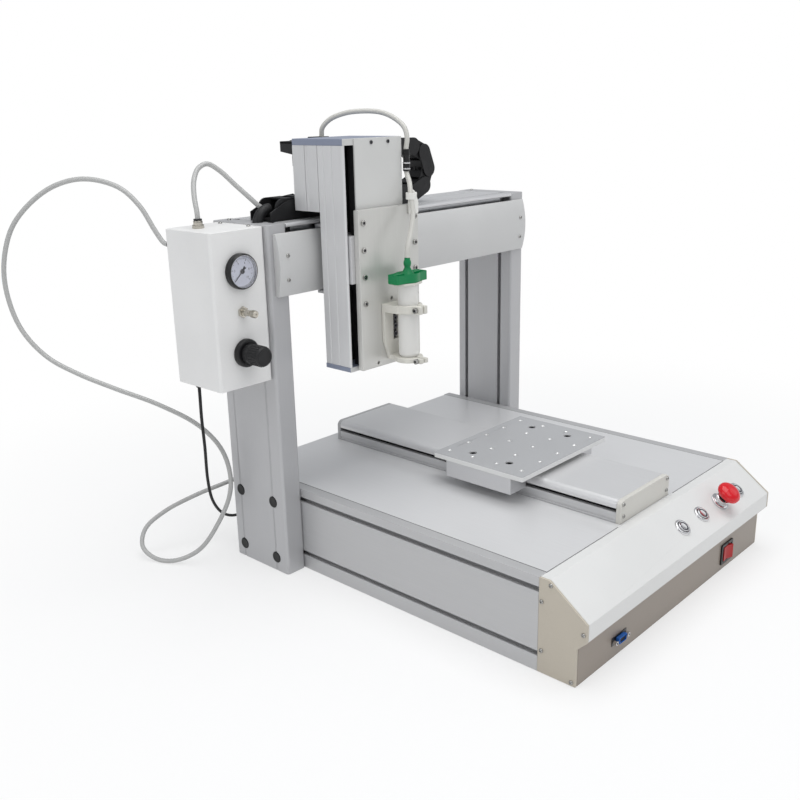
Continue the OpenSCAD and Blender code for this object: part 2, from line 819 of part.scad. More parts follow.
// Plates on the beam's bottom wall that carry the cross screw and its motor
module x_bearing_blocks() {
    color([0.66, 0.67, 0.68])
        for (x = [-hw + 10, xmotor_x - block_t])
            difference() {
                block([x, xs_y - motor_w / 2, beam_z + beam_wall],
                    [x + block_t, xs_y + motor_w / 2, xs_z + motor_w / 2]);
                translate([0, xs_y, xs_z]) rod_x(journal_d + 2 * run_gap, x - 1, x + block_t + 1);
            }
}

// A drive screw along +X with a journal at each end
module drive_screw(d, a, b, tail_a, tail_b) {
    rod_x(d, a, b);
    rod_x(journal_d, a - tail_a, a + eps);
    rod_x(journal_d, b - eps, b + tail_b);
}

module x_screw() {
    color([0.70, 0.71, 0.73]) translate([0, xs_y, xs_z])
        drive_screw(screw_d, -hw + 10 + block_t + 0.5, xmotor_x - block_t - 0.5, block_t, block_t + 20);
}

module y_screw() {
    color([0.70, 0.71, 0.73]) translate([0, 0, ys_z]) rotate([0, 0, 90])
        drive_screw(screw_d, ym_y0 + end_t + 0.5, ymotor_y - 0.5, end_t, 20);
}

// Drag chain

// Black tray on the beam's top, with the raised cheek at the fixed end
module chain_tray() {
    y0 = chain_y - link_w / 2 - tray_t - 0.5;
    y1 = chain_y + link_w / 2 + tray_t + 0.5;
    x0 = -hw - 4;
    x1 = chain_bend_x - link_p / 2;
    wall = 9;
    color([0.07, 0.07, 0.07]) {
        block([x0, y0, tray_floor], [x1, y1, tray_floor + tray_t]);
        for (y = [y0, y1 - tray_t])
            along_y(y, y + tray_t) polygon([[x0, tray_floor], [x1, tray_floor],
                [x1, tray_floor + wall], [x0 + 90, tray_floor + wall], [x0 + 70, tray_floor + 27],
                [x0 + 26, tray_floor + 23], [x0, tray_floor + wall + 2]]);
    }
}

// One chain link lying along +X from its first pin, its plates wide apart or close together
module chain_link(wide) {
    y1 = plate_hw - (wide ? 0 : link_t + link_gap);
    for (s = [-1, 1])
        along_y(s > 0 ? y1 - link_t : -y1, s > 0 ? y1 : -y1 + link_t) {
            translate([0, -link_h / 2]) square([link_p, link_h]);
            circle(d = link_h);
            translate([link_p, 0]) circle(d = link_h);
        }
    for (z = [-link_h / 2, link_h / 2 - bar_t])
        block([link_p / 2 - bar_l / 2, -y1 + eps, z], [link_p / 2 + bar_l / 2, y1 - eps, z + bar_t]);
}

// Lower run, half-circle bend and upper run of links
module drag_chain() {
    color([0.09, 0.09, 0.09]) translate([0, chain_y, 0]) {
        for (i = [0:low_links - 1])
            translate([chain_x0 + i * link_p, 0, chain_low_z]) chain_link(i % 2 == 0);
        for (i = [0:bend_links - 1])
            translate([chain_bend_x, 0, chain_low_z + link_r])
                rotate([0, -(i * 45 - 90), 0]) translate([link_r, 0, 0])
                    rotate([0, -(90 + 22.5), 0]) chain_link((low_links + i) % 2 == 0);
        for (i = [0:high_links - 1])
            translate([chain_x1 + i * link_p, 0, chain_high_z])
                chain_link((low_links + bend_links + high_links - 1 - i) % 2 == 0);
    }
}

// Cable conduit that leaves the fixed end of the chain and dives into the left column
module cable_conduit() {
    color([0.07, 0.07, 0.07]) translate([conduit_x, conduit_y, chain_low_z - conduit_r]) {
        rotate([90, 0, 0]) rotate([0, 0, 90]) rotate_extrude(angle = 90)
            translate([conduit_r, 0]) circle(d = conduit_d);
        translate([-conduit_r, 0, -25]) cylinder(d = conduit_d, h = 25 + eps);
    }
}

// Table axis

// U-shaped base of the table axis as (x, z)
module y_base_section() {
    difference() {
        translate([-ym_hw, ym_z0]) square([ymod_w, ygap_z - ym_z0]);
        translate([-ym_hw + ym_wall, ym_z0 + ym_wall])
            square([ymod_w - 2 * ym_wall, ygap_z - ym_z0]);
        for (s = [-1, 1])
            translate([s * ym_hw - 1, base_h + 2.5]) square([2, 2]);
    }
}

module y_module_base() {
    color([0.76, 0.76, 0.77]) along_y(ym_y0 + end_t, ym_y1 - end_t) y_base_section();
}

// Outline of the table axis above its gap as (x, z), less t
module y_cover_outline(t) {
    intersection() {
        translate([-ym_hw + t, ym_top - 40]) round_rect(ymod_w - 2 * t, 40 - t, ycover_r - t);
        translate([-ym_hw, ygap_z + ygap]) square([ymod_w, ycover_h]);
    }
}

module y_module_cover() {
    color([0.83, 0.83, 0.83]) along_y(ym_y0 + end_t, ym_y1 - end_t) difference() {
        y_cover_outline(0);
        y_cover_outline(ycover_t);
        translate([-ym_hw + ycover_t, ygap_z + ygap - 1]) square([ymod_w - 2 * ycover_t, 2]);
    }
}

module y_end_plates() {
    color([0.84, 0.83, 0.81]) for (y = [ym_y0, ym_y1 - end_t])
        difference() {
            along_y(y, y + end_t) {
                translate([-ym_hw, ym_top - 40]) round_rect(ymod_w, 40, ycover_r);
                translate([-ym_hw, ym_z0]) square([ymod_w, ym_top - ym_z0 - ycover_r]);
            }
            translate([0, 0, ys_z]) rod_y(journal_d + 2 * run_gap, y - 1, y + end_t + 1);
        }
}

// Carriage inside the table axis, its arms through the gaps and the blocks under the plate
module y_carriage() {
    color([0.79, 0.79, 0.80]) translate([0, table_y, 0]) difference() {
        union() {
            block([-slab_hw, -slab_half, ygap_z - 14], [slab_hw, slab_half, ygap_z + 0.5 + arm_t]);
            block([-table_w / 2 + 2, -arm_half, ygap_z + 0.5],
                [table_w / 2 - 2, arm_half, ygap_z + 0.5 + arm_t]);
            both_sides() block([ym_hw + block_in, -block_half, ygap_z - 1],
                [table_w / 2 - 2, block_half, table_z]);
            both_sides() block([yrail_x - 16, -slab_half, yrail_z + 3], [yrail_x + 16, slab_half, ygap_z - 13]);
            block([-15, -30, ys_z - 15], [15, 30, ygap_z - 13]);
        }
        both_sides() block([yrail_x - rail_w / 2 - guide_gap, -slab_half - 1, yrail_z],
            [yrail_x + rail_w / 2 + guide_gap, slab_half + 1, yrail_z + rail_h + guide_gap]);
        translate([0, 0, ys_z]) rod_y(screw_d + 2 * run_gap, -slab_half - 1, slab_half + 1);
    }
}

// Table plate with its grid of threaded holes and four counterbored fixing holes
module table_plate() {
    color([0.70, 0.70, 0.71]) translate([0, table_y, table_z]) difference() {
        linear_extrude(table_t) translate([-table_w / 2, -table_d / 2]) round_rect(table_w, table_d, 2);
        for (i = [-2:2], j = [-1.5:1.5])
            translate([i * hole_px, j * hole_py, -1]) cylinder(d = hole_d, h = table_t + 2);
        for (x = [-big_px / 2, big_px / 2], y = [-big_py / 2, big_py / 2])
            translate([x, y, -1]) {
                cylinder(d = 5.5, h = table_t + 2);
                translate([0, 0, 3]) cylinder(d = 10, h = table_t);
            }
    }
}

// Head

// Carriage behind the beam cover: rail block, nut and the two arms that reach round the cover
module x_carriage() {
    py0 = col_y0 + 1;
    py1 = py0 + arm_plate_t;
    top0 = cover_z1 + 1;
    low1 = cover_z0 - 2;
    color([0.60, 0.61, 0.62]) translate([head_x, 0, 0]) difference() {
        union() {
            block([-xc_half, py0, low1 - arm_plate_t], [xc_half, py1, top0 + arm_slot - 1.5]);
            block([-xc_half, zr_y, top0], [xc_half, py1, top0 + arm_slot - 1.5]);
            block([-xc_half, zr_y, low1 - arm_plate_t], [xc_half, py1, low1]);
            block([-30, py1 - eps, rail_z - 13], [30, rail_y + rail_w / 2 + 6, rail_z + 4]);
            block([-15, py1 - eps, xs_z - 14], [15, xs_y + 14, xs_z + 14]);
        }
        block([-31, rail_y - rail_w / 2 - guide_gap, rail_z - guide_gap],
            [31, rail_y + rail_w / 2 + guide_gap, rail_z + rail_h]);
        translate([0, xs_y, xs_z]) rod_x(screw_d + 2 * run_gap, -20, 20);
    }
}

// Cross-section of the vertical profile as (x, y): open front, guide ways and side lines
module z_section() {
    difference() {
        translate([-head_hw, zf_y]) round_rect(head_w, head_d, 2);
        translate([-head_hw + head_wall, zf_y - 1])
            square([head_w - 2 * head_wall, head_d - head_back + 1]);
        for (s = [-1, 1], y = [zf_y + 19, zf_y + 33])
            translate([s * head_hw - 0.8, y - 0.8]) square([1.6, 1.6]);
    }
    for (s = [-1, 1])
        translate([s * way_x - way_w / 2, zr_y - head_back - way_h]) square([way_w, way_h + 1]);
}

module z_profile() {
    color([0.80, 0.80, 0.80]) translate([head_x, 0, zp_z0]) linear_extrude(head_l) z_section();
}

// Folded front cover between the two slots, screwed on the end caps
module z_front_cover() {
    zw = zcover_w / 2;
    color([0.84, 0.84, 0.83]) translate([head_x, 0, 0]) {
        block([-zw, zf_y - zcover_t, zp_z0 - low_cap_t], [zw, zf_y, zp_z1 + top_cap_t]);
        for (x = [-zw, zw - zcover_t])
            block([x, zf_y - eps, zp_z0], [x + zcover_t, zf_y + zcover_lip, zp_z1]);
    }
}

// Top plate over profile and motor housing, and the cap under the profile
module z_end_caps() {
    color([0.50, 0.53, 0.58]) translate([head_x, 0, 0]) {
        difference() {
            block([-head_hw, zf_y, zp_z1], [head_hw, zr_y + housing_d, zp_z1 + top_cap_t]);
            translate([0, zs_y, zp_z1 - 1]) cylinder(d = journal_d + 2 * run_gap, h = 6);
        }
        difference() {
            block([-head_hw, zf_y, zp_z0 - low_cap_t], [head_hw, zr_y, zp_z0]);
            translate([0, zs_y, zp_z0 - 4]) cylinder(d = journal_d + 2 * run_gap, h = 5);
        }
    }
}

// Extruded housing of the vertical motor behind the profile, above the beam
module z_motor_housing() {
    color([0.80, 0.80, 0.80]) translate([head_x, 0, zp_z1 - housing_h]) linear_extrude(housing_h)
        difference() {
            translate([-head_hw, zr_y]) square([head_w, housing_d]);
            for (s = [-1, 1])
                translate([s * head_hw - 0.8, zr_y + 17]) square([1.6, 1.6]);
        }
}

// Black bracket behind the head that holds the moving end of the chain
module chain_bracket() {
    z0 = chain_high_z + link_h / 2 + 0.5;
    y0 = zr_y + housing_d;
    color([0.07, 0.07, 0.07]) translate([head_x, 0, 0]) difference() {
        union() {
            block([-head_hw + 2, y0, z0], [xc_half, chain_y + link_w / 2 + 2, z0 + 3]);
            block([-head_hw + 2, y0, z0 - 26], [xc_half, y0 + 3, z0 + 3]);
            block([-6, chain_y - 10, z0 + 2], [16, chain_y + 6, z0 + 6.5]);
        }
        translate([tube_b_exit[0] - head_x, tube_b_exit[1], z0 - 1]) cylinder(d = tube_d + 0.4, h = 4.5);
    }
}

module z_screw() {
    color([0.70, 0.71, 0.73]) translate([head_x, zs_y, 0]) {
        translate([0, 0, zp_z0 + 0.5]) cylinder(d = zs_d, h = head_l - 1);
        translate([0, 0, zp_z0 - 3.5]) cylinder(d = journal_d, h = head_l + 8);
    }
}

// Slider behind the front cover, with the two arms that show in the slots
module z_slider() {
    ax0 = zcover_w / 2 + slider_in;
    ax1 = head_hw - head_wall - slider_out;
    color([0.82, 0.82, 0.82]) translate([head_x, 0, slider_z - slider_h / 2]) difference() {
        union() {
            block([-ax1, slider_y0, 0], [ax1, slider_y1, slider_h]);
            both_sides() block([ax0, zplate_y + plate_t, 0], [ax1, slider_y1, slider_h]);
        }
        both_sides() block([way_x - way_w / 2 - guide_gap, zr_y - head_back - way_h - guide_gap, -1],
            [way_x + way_w / 2 + guide_gap, zr_y, slider_h + 1]);
        translate([0, zs_y, -1]) cylinder(d = zs_d + 2 * run_gap, h = slider_h + 2);
    }
}

// Tool plate with its threaded holes
module z_plate() {
    color([0.76, 0.75, 0.73]) translate([head_x, zplate_y, zplate_z0]) difference() {
        along_y(0, plate_t) translate([-head_hw, 0]) round_rect(head_w, plate_h, 5);
        for (x = [-20, 9])
            translate([x, 0, 5]) rod_y(hole_d, -1, plate_t + 1);
        translate([6, 0, 82]) rod_y(hole_d, -1, plate_t + 1);
    }
}

// Screws of the tool plate and the two clamp screws of the syringe bracket
module head_screws() {
    color([0.78, 0.78, 0.79]) {
        for (s = [-1, 1], i = [0:3])
            translate([head_x + s * (head_hw - 11), 0, zplate_z0 + plate_h - 15 - 32.5 * i])
                rod_y(7, zplate_y - 2, zplate_y);
        for (z = [barrel_z0 - ring_low_t / 2, ring_z1])
            translate([syr_x, clamp_y, z]) rod_x(6.5, -ear_w / 2 - 4, -ear_w / 2);
    }
}

// Outline of one bracket ring as (x, y), seen from above, with its slit ears
module ring_outline(half) {
    r = barrel_d / 2 + 5;
    translate([syr_x, syr_y]) {
        circle(r);
        translate([-half, 0]) square([2 * half, syringe_dy]);
        translate([-ear_w / 2, -barrel_d / 2 - ear_l]) square([ear_w, ear_l + barrel_d / 2]);
    }
}

// White nylon bracket: slotted back plate that narrows downwards and two clamp rings
module syringe_bracket() {
    low = barrel_z0 - ring_low_t;
    high = ring_z1 + ring_t / 2;
    color([0.88, 0.87, 0.84]) difference() {
        union() {
            translate([0, 0, low]) linear_extrude(ring_low_t) ring_outline(bracket_low_hw);
            translate([0, 0, high - ring_t]) linear_extrude(ring_t) ring_outline(bracket_hw);
            translate([syr_x, 0, 0]) along_y(zplate_y - bracket_back, zplate_y)
                polygon([[-bracket_low_hw, low], [bracket_low_hw, low], [bracket_hw, low + bracket_taper],
                    [bracket_hw, high], [-bracket_hw, high], [-bracket_hw, low + bracket_taper]]);
        }
        translate([syr_x, syr_y, high - 2 * ring_t]) cylinder(d = barrel_d + 0.2, h = 3 * ring_t);
        translate([syr_x, syr_y, low - 1]) cylinder(d = 12, h = ring_low_t + 2);
        block([syr_x - slit_w / 2, syr_y - barrel_d - ear_l, low - 1],
            [syr_x + slit_w / 2, syr_y, high + 1]);
        block([syr_x - 4, zplate_y - bracket_back - 1, low + bracket_taper],
            [syr_x + 4, zplate_y + 1, high - ring_t - 4]);
    }
}

// Clear barrel: straight wall, cone and short nozzle, open down to the nozzle's bore
module syringe_barrel() {
    r = barrel_d / 2;
    z = barrel_z0;
    color([0.90, 0.91, 0.92, 0.6]) translate([syr_x, syr_y, 0]) rotate_extrude()
        polygon([[1, z - ring_low_t - 3], [2.6, z - ring_low_t - 3], [3.2, z - 3], [5.7, z], [r - 2, z],
            [r, z + 4], [r, barrel_z1], [r - 1.6, barrel_z1], [r - 1.6, z + 4.6], [r - 3, z + 2],
            [1, z + 1]]);
}

// Green cap with two wings and a ribbed hose stem
module syringe_cap() {
    color([0.03, 0.42, 0.20]) translate([syr_x, syr_y, barrel_z1]) difference() {
        union() {
            linear_extrude(cap_h) intersection() {
                translate([-cap_l / 2, -cap_w]) square([cap_l, 2 * cap_w]);
                union() {
                    circle(d = barrel_d + 3);
                    translate([-cap_l / 2, -cap_w / 2]) round_rect(cap_l, cap_w, 4);
                }
            }
            translate([0, 0, cap_h - eps]) rotate_extrude() polygon([[0, 0], [5.5, 0], [4, 6],
                [cap_stem_d / 2 - 0.6, 8], [cap_stem_d / 2 + 0.6, 11], [cap_stem_d / 2 + 0.6, 15],
                [cap_stem_d / 2 - 0.6, 18], [cap_stem_d / 2 - 0.6, cap_stem_h], [0, cap_stem_h]]);
        }
        translate([0, 0, -1]) cylinder(d = 5, h = cap_h);
    }
}

// Black in-line coupling and white clip that hold the syringe's tube on the tool plate
module hose_fittings() {
    color([0.80, 0.80, 0.78]) {
        translate(coupling_at - [0, 0, coupling_l / 2]) difference() {
            cylinder(d = coupling_d, h = coupling_l);
            translate([0, 0, -1]) cylinder(d = tube_d + 0.4, h = coupling_l + 2);
        }
        translate(clip_at) difference() {
            union() {
                translate([0, 0, -4]) cylinder(d = tube_d + 6, h = 8);
                block([1, -2, -4], [14, zplate_y - clip_at[1], 4]);
                block([5, zplate_y - clip_at[1] - 2.5, -22], [14, zplate_y - clip_at[1], 4]);
            }
            translate([0, 0, -5]) cylinder(d = tube_d + 3, h = 10);
        }
    }
}

// Control box

// Hollow sheet box on the column, with holes for its fittings
module box_shell() {
    t = sheet_t;
    color([0.86, 0.85, 0.84]) difference() {
        translate([box_x0, box_y0, box_z]) linear_extrude(box_h) round_rect(box_w, box_d, 4);
        translate([box_x0 + t, box_y0 + t, box_z + t]) linear_extrude(box_h - 2 * t)
            round_rect(box_w - 2 * t, box_d - 2 * t, 4 - t);
        translate([box_xc, 0, box_z + gauge_z]) rod_y(gauge_d - 3, box_y0 - 1, box_y0 + 5);
        translate([box_xc, 0, box_z + valve_z]) rod_y(valve_d, box_y0 - 1, box_y0 + 5);
        translate([box_xc, 0, box_z + reg_z]) rod_y(reg_ring_d - 6, box_y0 - 1, box_y0 + 5);
        translate([feed_exit[0], feed_exit[1], box_z1 - 3]) cylinder(d = fit_d - 2, h = 6);
        translate([supply_exit[0], 0, supply_exit[2]]) rod_y(fit_d - 2, box_y1 - 3, box_y1 + 3);
        translate([cable_exit[0], cable_exit[1], box_z - 3]) cylinder(d = gland_d - 2, h = 6);
    }
}

// Gauge: bezel, case behind the panel and recessed dial
module gauge_case() {
    color([0.10, 0.10, 0.10]) translate([box_xc, box_y0, box_z + gauge_z]) difference() {
        union() {
            rod_y(gauge_d, -gauge_out, 0);
            rod_y(gauge_d - 3.4, -1, gauge_in);
            rod_y(10, gauge_in - 1, gauge_in + 12);
        }
        rod_y(gauge_d - 5, -gauge_out - 1, -gauge_out + dial_deep);
        rod_y(2 + 2 * run_gap, -gauge_out, gauge_in - 4);
    }
}

// Gauge needle on its staff, pointing to the start of the scale
module gauge_needle() {
    y = box_y0 - gauge_out + dial_deep - 1.2;
    color([0.05, 0.05, 0.05]) translate([box_xc, 0, box_z + gauge_z]) {
        rotate([0, 45, 0]) along_y(y, y + needle_t) polygon([[-0.4, 0], [-0.3, -14.5], [0.3, -14.5],
            [0.4, 0], [2, 6.5], [-2, 6.5]]);
        rod_y(4, y - 0.4, y + needle_t + 0.2);
        rod_y(2, y, box_y0 + gauge_in - 8);
    }
}

module gauge_lens() {
    y = box_y0 - gauge_out;
    color([0.9, 0.95, 1, 0.3]) translate([box_xc, 0, box_z + gauge_z])
        rod_y(gauge_d - 5.04, y + 0.6, y + 0.6 + lens_t);
}

// Regulator: panel ring in front, body behind the panel
module regulator_body() {
    color([0.06, 0.06, 0.06]) translate([box_xc, box_y0, box_z + reg_z]) difference() {
        union() {
            rod_y(reg_ring_d, -reg_out, 0);
            rod_y(reg_ring_d - 6.4, -1, reg_in);
        }
        rod_y(spindle_d + 2 * run_gap, -reg_out - 1, spindle_l - 6);
    }
}

// Spindle that turns in the regulator and that the knob slides on
module regulator_spindle() {
    color([0.65, 0.66, 0.68]) translate([box_xc, box_y0, box_z + reg_z])
        rod_y(spindle_d, -reg_out - 12, spindle_l - 8);
}

// Knob that pulls out to unlock and then turns the spindle
module regulator_knob() {
    y0 = -reg_out - 0.5;
    color([0.05, 0.05, 0.05]) translate([box_xc, box_y0, box_z + reg_z]) difference() {
        union() {
            rod_y(reg_knob_d - 1.5, y0 - 10, y0);
            rod_y(reg_knob_d - 0.8, y0 - reg_knob_l + 1, y0 - 10 + eps);
            rod_y(reg_knob_d - 3, y0 - reg_knob_l, y0 - reg_knob_l + 1 + eps);
            for (a = [0:20:340])
                rotate([0, a, 0]) translate([reg_knob_d / 2 - 0.6, 0, 0])
                    rod_y(1.6, y0 - reg_knob_l + 3, y0 - 11);
        }
        rod_y(spindle_d + 2 * run_gap, y0 - 14 - reg_pull, y0 + 1);
    }
}

// Push-in fittings, needle valve body and cable glands, each seated on its panel
module air_fittings() {
    color([0.72, 0.62, 0.38]) {
        translate([feed_exit[0], feed_exit[1], box_z1]) fitting_body(fit_d, fit_l);
        translate([supply_exit[0], box_y1, supply_exit[2]]) rotate([-90, 0, 0]) fitting_body(fit_d, fit_l);
        translate([supply_end[0], rear_y, supply_end[2]]) rotate([-90, 0, 0]) fitting_body(fit_d, fit_l);
        translate([cable_exit[0], cable_exit[1], box_z]) rotate([180, 0, 0]) fitting_body(gland_d, gland_l);
        translate([cable_end[0], rear_y, cable_end[2]]) rotate([-90, 0, 0]) fitting_body(gland_d, gland_l);
        translate([box_xc, box_y0, box_z + valve_z]) difference() {
            union() {
                rod_y(valve_d - 0.2, -valve_out, 12);
                rotate([90, 0, 0]) cylinder(d = 14, h = 4, $fn = 6);
            }
            rod_y(4 + 2 * run_gap, -valve_out - 1, 6);
        }
    }
}

// A fitting that stands on a panel along +Z: hexagon below, round collar above
module fitting_body(d, l) {
    cylinder(d = d + 2, h = l * 0.4, $fn = 6);
    cylinder(d = d - 1, h = l);
    translate([0, 0, -6]) cylinder(d = d - 2.2, h = 6 + eps);
}

// Knurled knob of the needle valve, with the stem that screws into the body
module valve_knob() {
    y0 = -valve_out - 0.4;
    color([0.74, 0.66, 0.45]) translate([box_xc, box_y0, box_z + valve_z]) {
        rod_y(valve_knob_d - 1, y0 - valve_knob_l, y0);
        for (a = [0:30:330])
            rotate([0, a, 0]) translate([valve_knob_d / 2 - 0.7, 0, 0])
                rod_y(1.4, y0 - valve_knob_l + 1, y0 - 1);
        rod_y(4, y0 - eps, 4);
    }
}

// Screw heads on the cheeks, the beam cover, the table axis and the box
module cover_screws() {
    cheek_spots = [[slope_y - 2, base_h - 5], [cheek_y - 4, base_h - 27], [cheek_y - 5, 27],
        [front_y + 4.5, lip_high_z - 12], [face_y + 5, 4.5]];
    end_spots = [[-ym_hw + 6, ym_top - 5], [-ym_hw + 7, base_h + 8]];
    cover_spots = [cover_zc - 17.5, cover_zc + 11.5];
    color([0.80, 0.80, 0.81]) {
        both_sides() {
            for (s = cheek_spots)
                translate([0, s[0], s[1]]) screw_head(5.5, -hw);
            for (z = cover_spots)
                translate([-cover_hl + cover_screw_in, 0, z])
                    rod_y(5, cover_front(z) - 1.8, cover_front(z + (z > cover_zc ? -2.5 : 2.5)));
            for (s = end_spots)
                translate([s[0], 0, s[1]]) rod_y(4.5, ym_y0 - 1.5, ym_y0);
            translate([-hw - 15, col_y0 + 90, col_h]) cylinder(d = 7, h = 3);
        }
        for (y = [box_y0 + 16, box_y1 - 16])
            translate([box_x1 - 9, y, box_z1]) cylinder(d = 5, h = 1.6);
    }
}

// Front of the beam cover at height z
function cover_front(z) = cover_y + cover_r - sqrt(pow(cover_r, 2) - pow(z - cover_zc, 2));

// A low round screw head on the face at x, pointing to -X
module screw_head(d, x) {
    rod_x(d, x - 1.4, x);
    rod_x(d - 2, x - 2, x - 1.4 + eps);
}

// Free cords

module supply_tube() {
    color([0.85, 0.84, 0.80, 0.6]) tube(SUPPLY, tube_d);
}

module box_cable() {
    color([0.05, 0.05, 0.05]) tube(CABLE, cable_d);
}

module feed_tube() {
    color([0.85, 0.84, 0.80, 0.6]) tube(FEED, tube_d);
}

module syringe_tube() {
    color([0.85, 0.84, 0.80, 0.6]) tube(SYRINGE, tube_d);
}

side_profiles();
deck_plate();
base_tray();
console_panel();
console_cheeks();
cover_screws();
rocker_bezel();
rocker();
panel_sockets();
panel_bezels();
button_left();
button_middle();
button_right();
estop_stem();
estop_head();
left_column();
right_column();
column_plugs();
beam_profile();
beam_cover();
linear_rails();
stepper_motors();
x_bearing_blocks();
x_screw();
y_screw();
chain_tray();
drag_chain();
cable_conduit();
y_module_base();
y_module_cover();
y_end_plates();
box_shell();
gauge_case();
gauge_needle();
gauge_lens();
regulator_body();
regulator_spindle();
regulator_knob();
air_fittings();
valve_knob();
y_carriage();
table_plate();
x_carriage();
z_profile();
z_front_cover();
z_end_caps();
z_motor_housing();
chain_bracket();
z_screw();
z_slider();
z_plate();
head_screws();
syringe_bracket();
syringe_barrel();
syringe_cap();
hose_fittings();
supply_tube();
box_cable();
feed_tube();
syringe_tube();
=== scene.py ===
"""Looks of a desktop dispensing robot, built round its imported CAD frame.

+X to the operator's right, +Y to the back, +Z up, origin under the middle of the base. The scene
is in metres; the sub-assemblies and the modelling steps take millimetres.
"""
import json
import logging
import math
from dataclasses import dataclass
from enum import Enum
from typing import Callable, ClassVar, Dict, Iterable, List, Optional, Sequence, Tuple, Union

import bpy
from mathutils import Matrix, Vector

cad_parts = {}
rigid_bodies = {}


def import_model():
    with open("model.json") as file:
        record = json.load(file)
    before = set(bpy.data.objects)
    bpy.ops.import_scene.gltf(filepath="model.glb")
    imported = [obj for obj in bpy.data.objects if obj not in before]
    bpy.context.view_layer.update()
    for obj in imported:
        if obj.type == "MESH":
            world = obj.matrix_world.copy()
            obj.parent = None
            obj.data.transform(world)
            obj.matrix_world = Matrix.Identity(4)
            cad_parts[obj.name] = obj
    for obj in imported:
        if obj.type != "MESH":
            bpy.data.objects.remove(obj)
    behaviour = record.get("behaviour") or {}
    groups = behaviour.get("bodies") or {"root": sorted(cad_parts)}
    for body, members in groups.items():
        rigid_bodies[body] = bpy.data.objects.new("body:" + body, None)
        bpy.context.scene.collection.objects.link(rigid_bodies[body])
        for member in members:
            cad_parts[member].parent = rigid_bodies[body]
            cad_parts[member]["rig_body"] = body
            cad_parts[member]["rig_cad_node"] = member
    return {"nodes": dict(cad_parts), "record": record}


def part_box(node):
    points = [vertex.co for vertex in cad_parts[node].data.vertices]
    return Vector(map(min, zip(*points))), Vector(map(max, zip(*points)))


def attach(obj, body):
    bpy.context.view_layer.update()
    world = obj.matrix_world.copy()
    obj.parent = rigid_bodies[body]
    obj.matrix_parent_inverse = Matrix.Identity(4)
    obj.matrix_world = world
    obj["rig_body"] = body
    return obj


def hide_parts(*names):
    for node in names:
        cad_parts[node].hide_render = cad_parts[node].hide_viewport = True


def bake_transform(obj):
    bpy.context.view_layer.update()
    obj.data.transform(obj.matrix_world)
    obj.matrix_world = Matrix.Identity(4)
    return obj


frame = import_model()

log = logging.getLogger("dispensing_robot")

Point = Tuple[float, float, float]
Pair = Tuple[float, float]
Colour = Tuple[float, float, float]
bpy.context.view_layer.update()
MM = 0.001
# Vertices this close, in metres, are one: in new pieces, and in copies of CAD nodes
WELD = 1e-6
CAD_WELD = 2e-6
# Faces of a CAD node that turn by less than this, in degrees, are one flat face
FLAT = 0.4


class Axis(Enum):
    """A direction of the frame, as a unit vector."""

    X = (1.0, 0.0, 0.0)
    Y = (0.0, 1.0, 0.0)
    Z = (0.0, 0.0, 1.0)
    LEFT = (-1.0, 0.0, 0.0)
    FRONT = (0.0, -1.0, 0.0)
    DOWN = (0.0, 0.0, -1.0)

    def vector(self) -> Vector:
        """The direction as a Vector."""
        return Vector(self.value)


# Shader expressions


class Value:
    """A shader socket that takes part in Python expressions."""

    def __init__(self, nodes: "Nodes", socket: bpy.types.NodeSocket) -> None:
        """Keeps the socket and the node tree that it belongs to."""
        self.nodes = nodes
        self.socket = socket

    def _math(self, operation: str, first: "Operand", second: "Operand") -> "Value":
        """Adds one Math node and returns its result."""
        return self.nodes.node("ShaderNodeMath", {"operation": operation}, {0: first, 1: second})

    def __add__(self, other: "Operand") -> "Value":
        """self + other."""
        return self._math("ADD", self, other)

    __radd__ = __add__

    def __sub__(self, other: "Operand") -> "Value":
        """self - other."""
        return self._math("SUBTRACT", self, other)

    def __rsub__(self, other: "Operand") -> "Value":
        """other - self."""
        return self._math("SUBTRACT", other, self)

    def __mul__(self, other: "Operand") -> "Value":
        """self * other."""
        return self._math("MULTIPLY", self, other)

    __rmul__ = __mul__

    def above(self, limit: "Operand") -> "Value":
        """1 where self is greater than limit, else 0."""
        return self._math("GREATER_THAN", self, limit)

    def ramp(self, low: float, high: float) -> "Value":
        """Goes from 0 at low to 1 at high, smoothly, and stays there."""
        return self.nodes.node(
            "ShaderNodeMapRange", {"interpolation_type": "SMOOTHSTEP"},
            {0: self, 1: low, 2: high, 3: 0.0, 4: 1.0})

    def mix(self, dark: Colour, light: Colour) -> "Value":
        """A colour between dark, where self is 0, and light, where it is 1."""
        return self.nodes.node(
            "ShaderNodeMix", {"data_type": "RGBA"},
            {0: self, 6: (*dark, 1.0), 7: (*light, 1.0)}, 2)


Operand = Union[Value, int, float]


class Nodes:
    """A node tree under construction."""

    def __init__(self, tree: bpy.types.NodeTree) -> None:
        """Takes over a tree and empties it."""
        self.tree = tree
        tree.nodes.clear()

    def feed(self, socket: bpy.types.NodeSocket, value: object) -> None:
        """Links or sets one input socket.

        Args:
            socket: The input.
            value: A Value to link, or a plain value to set.
        """
        if isinstance(value, Value):
            self.tree.links.new(value.socket, socket)
        else:
            socket.default_value = value

    def add(self, kind: str, settings: Optional[dict] = None,
            sockets: Optional[dict] = None) -> bpy.types.Node:
        """Adds any node.

        Args:
            kind: The node's type.
            settings: Attributes of the node, set before its sockets.
            sockets: Input name or number to a Value or a plain value.

        Returns:
            The node.
        """
        made = self.tree.nodes.new(kind)
        for key, value in (settings or {}).items():
            setattr(made, key, value)
        for key, value in (sockets or {}).items():
            self.feed(made.inputs[key], value)
        return made

    def node(self, kind: str, settings: Optional[dict] = None, sockets: Optional[dict] = None,
             result: Union[int, str] = 0) -> Value:
        """Adds any node, as add does, and returns its output named or numbered result."""
        return Value(self, self.add(kind, settings, sockets).outputs[result])


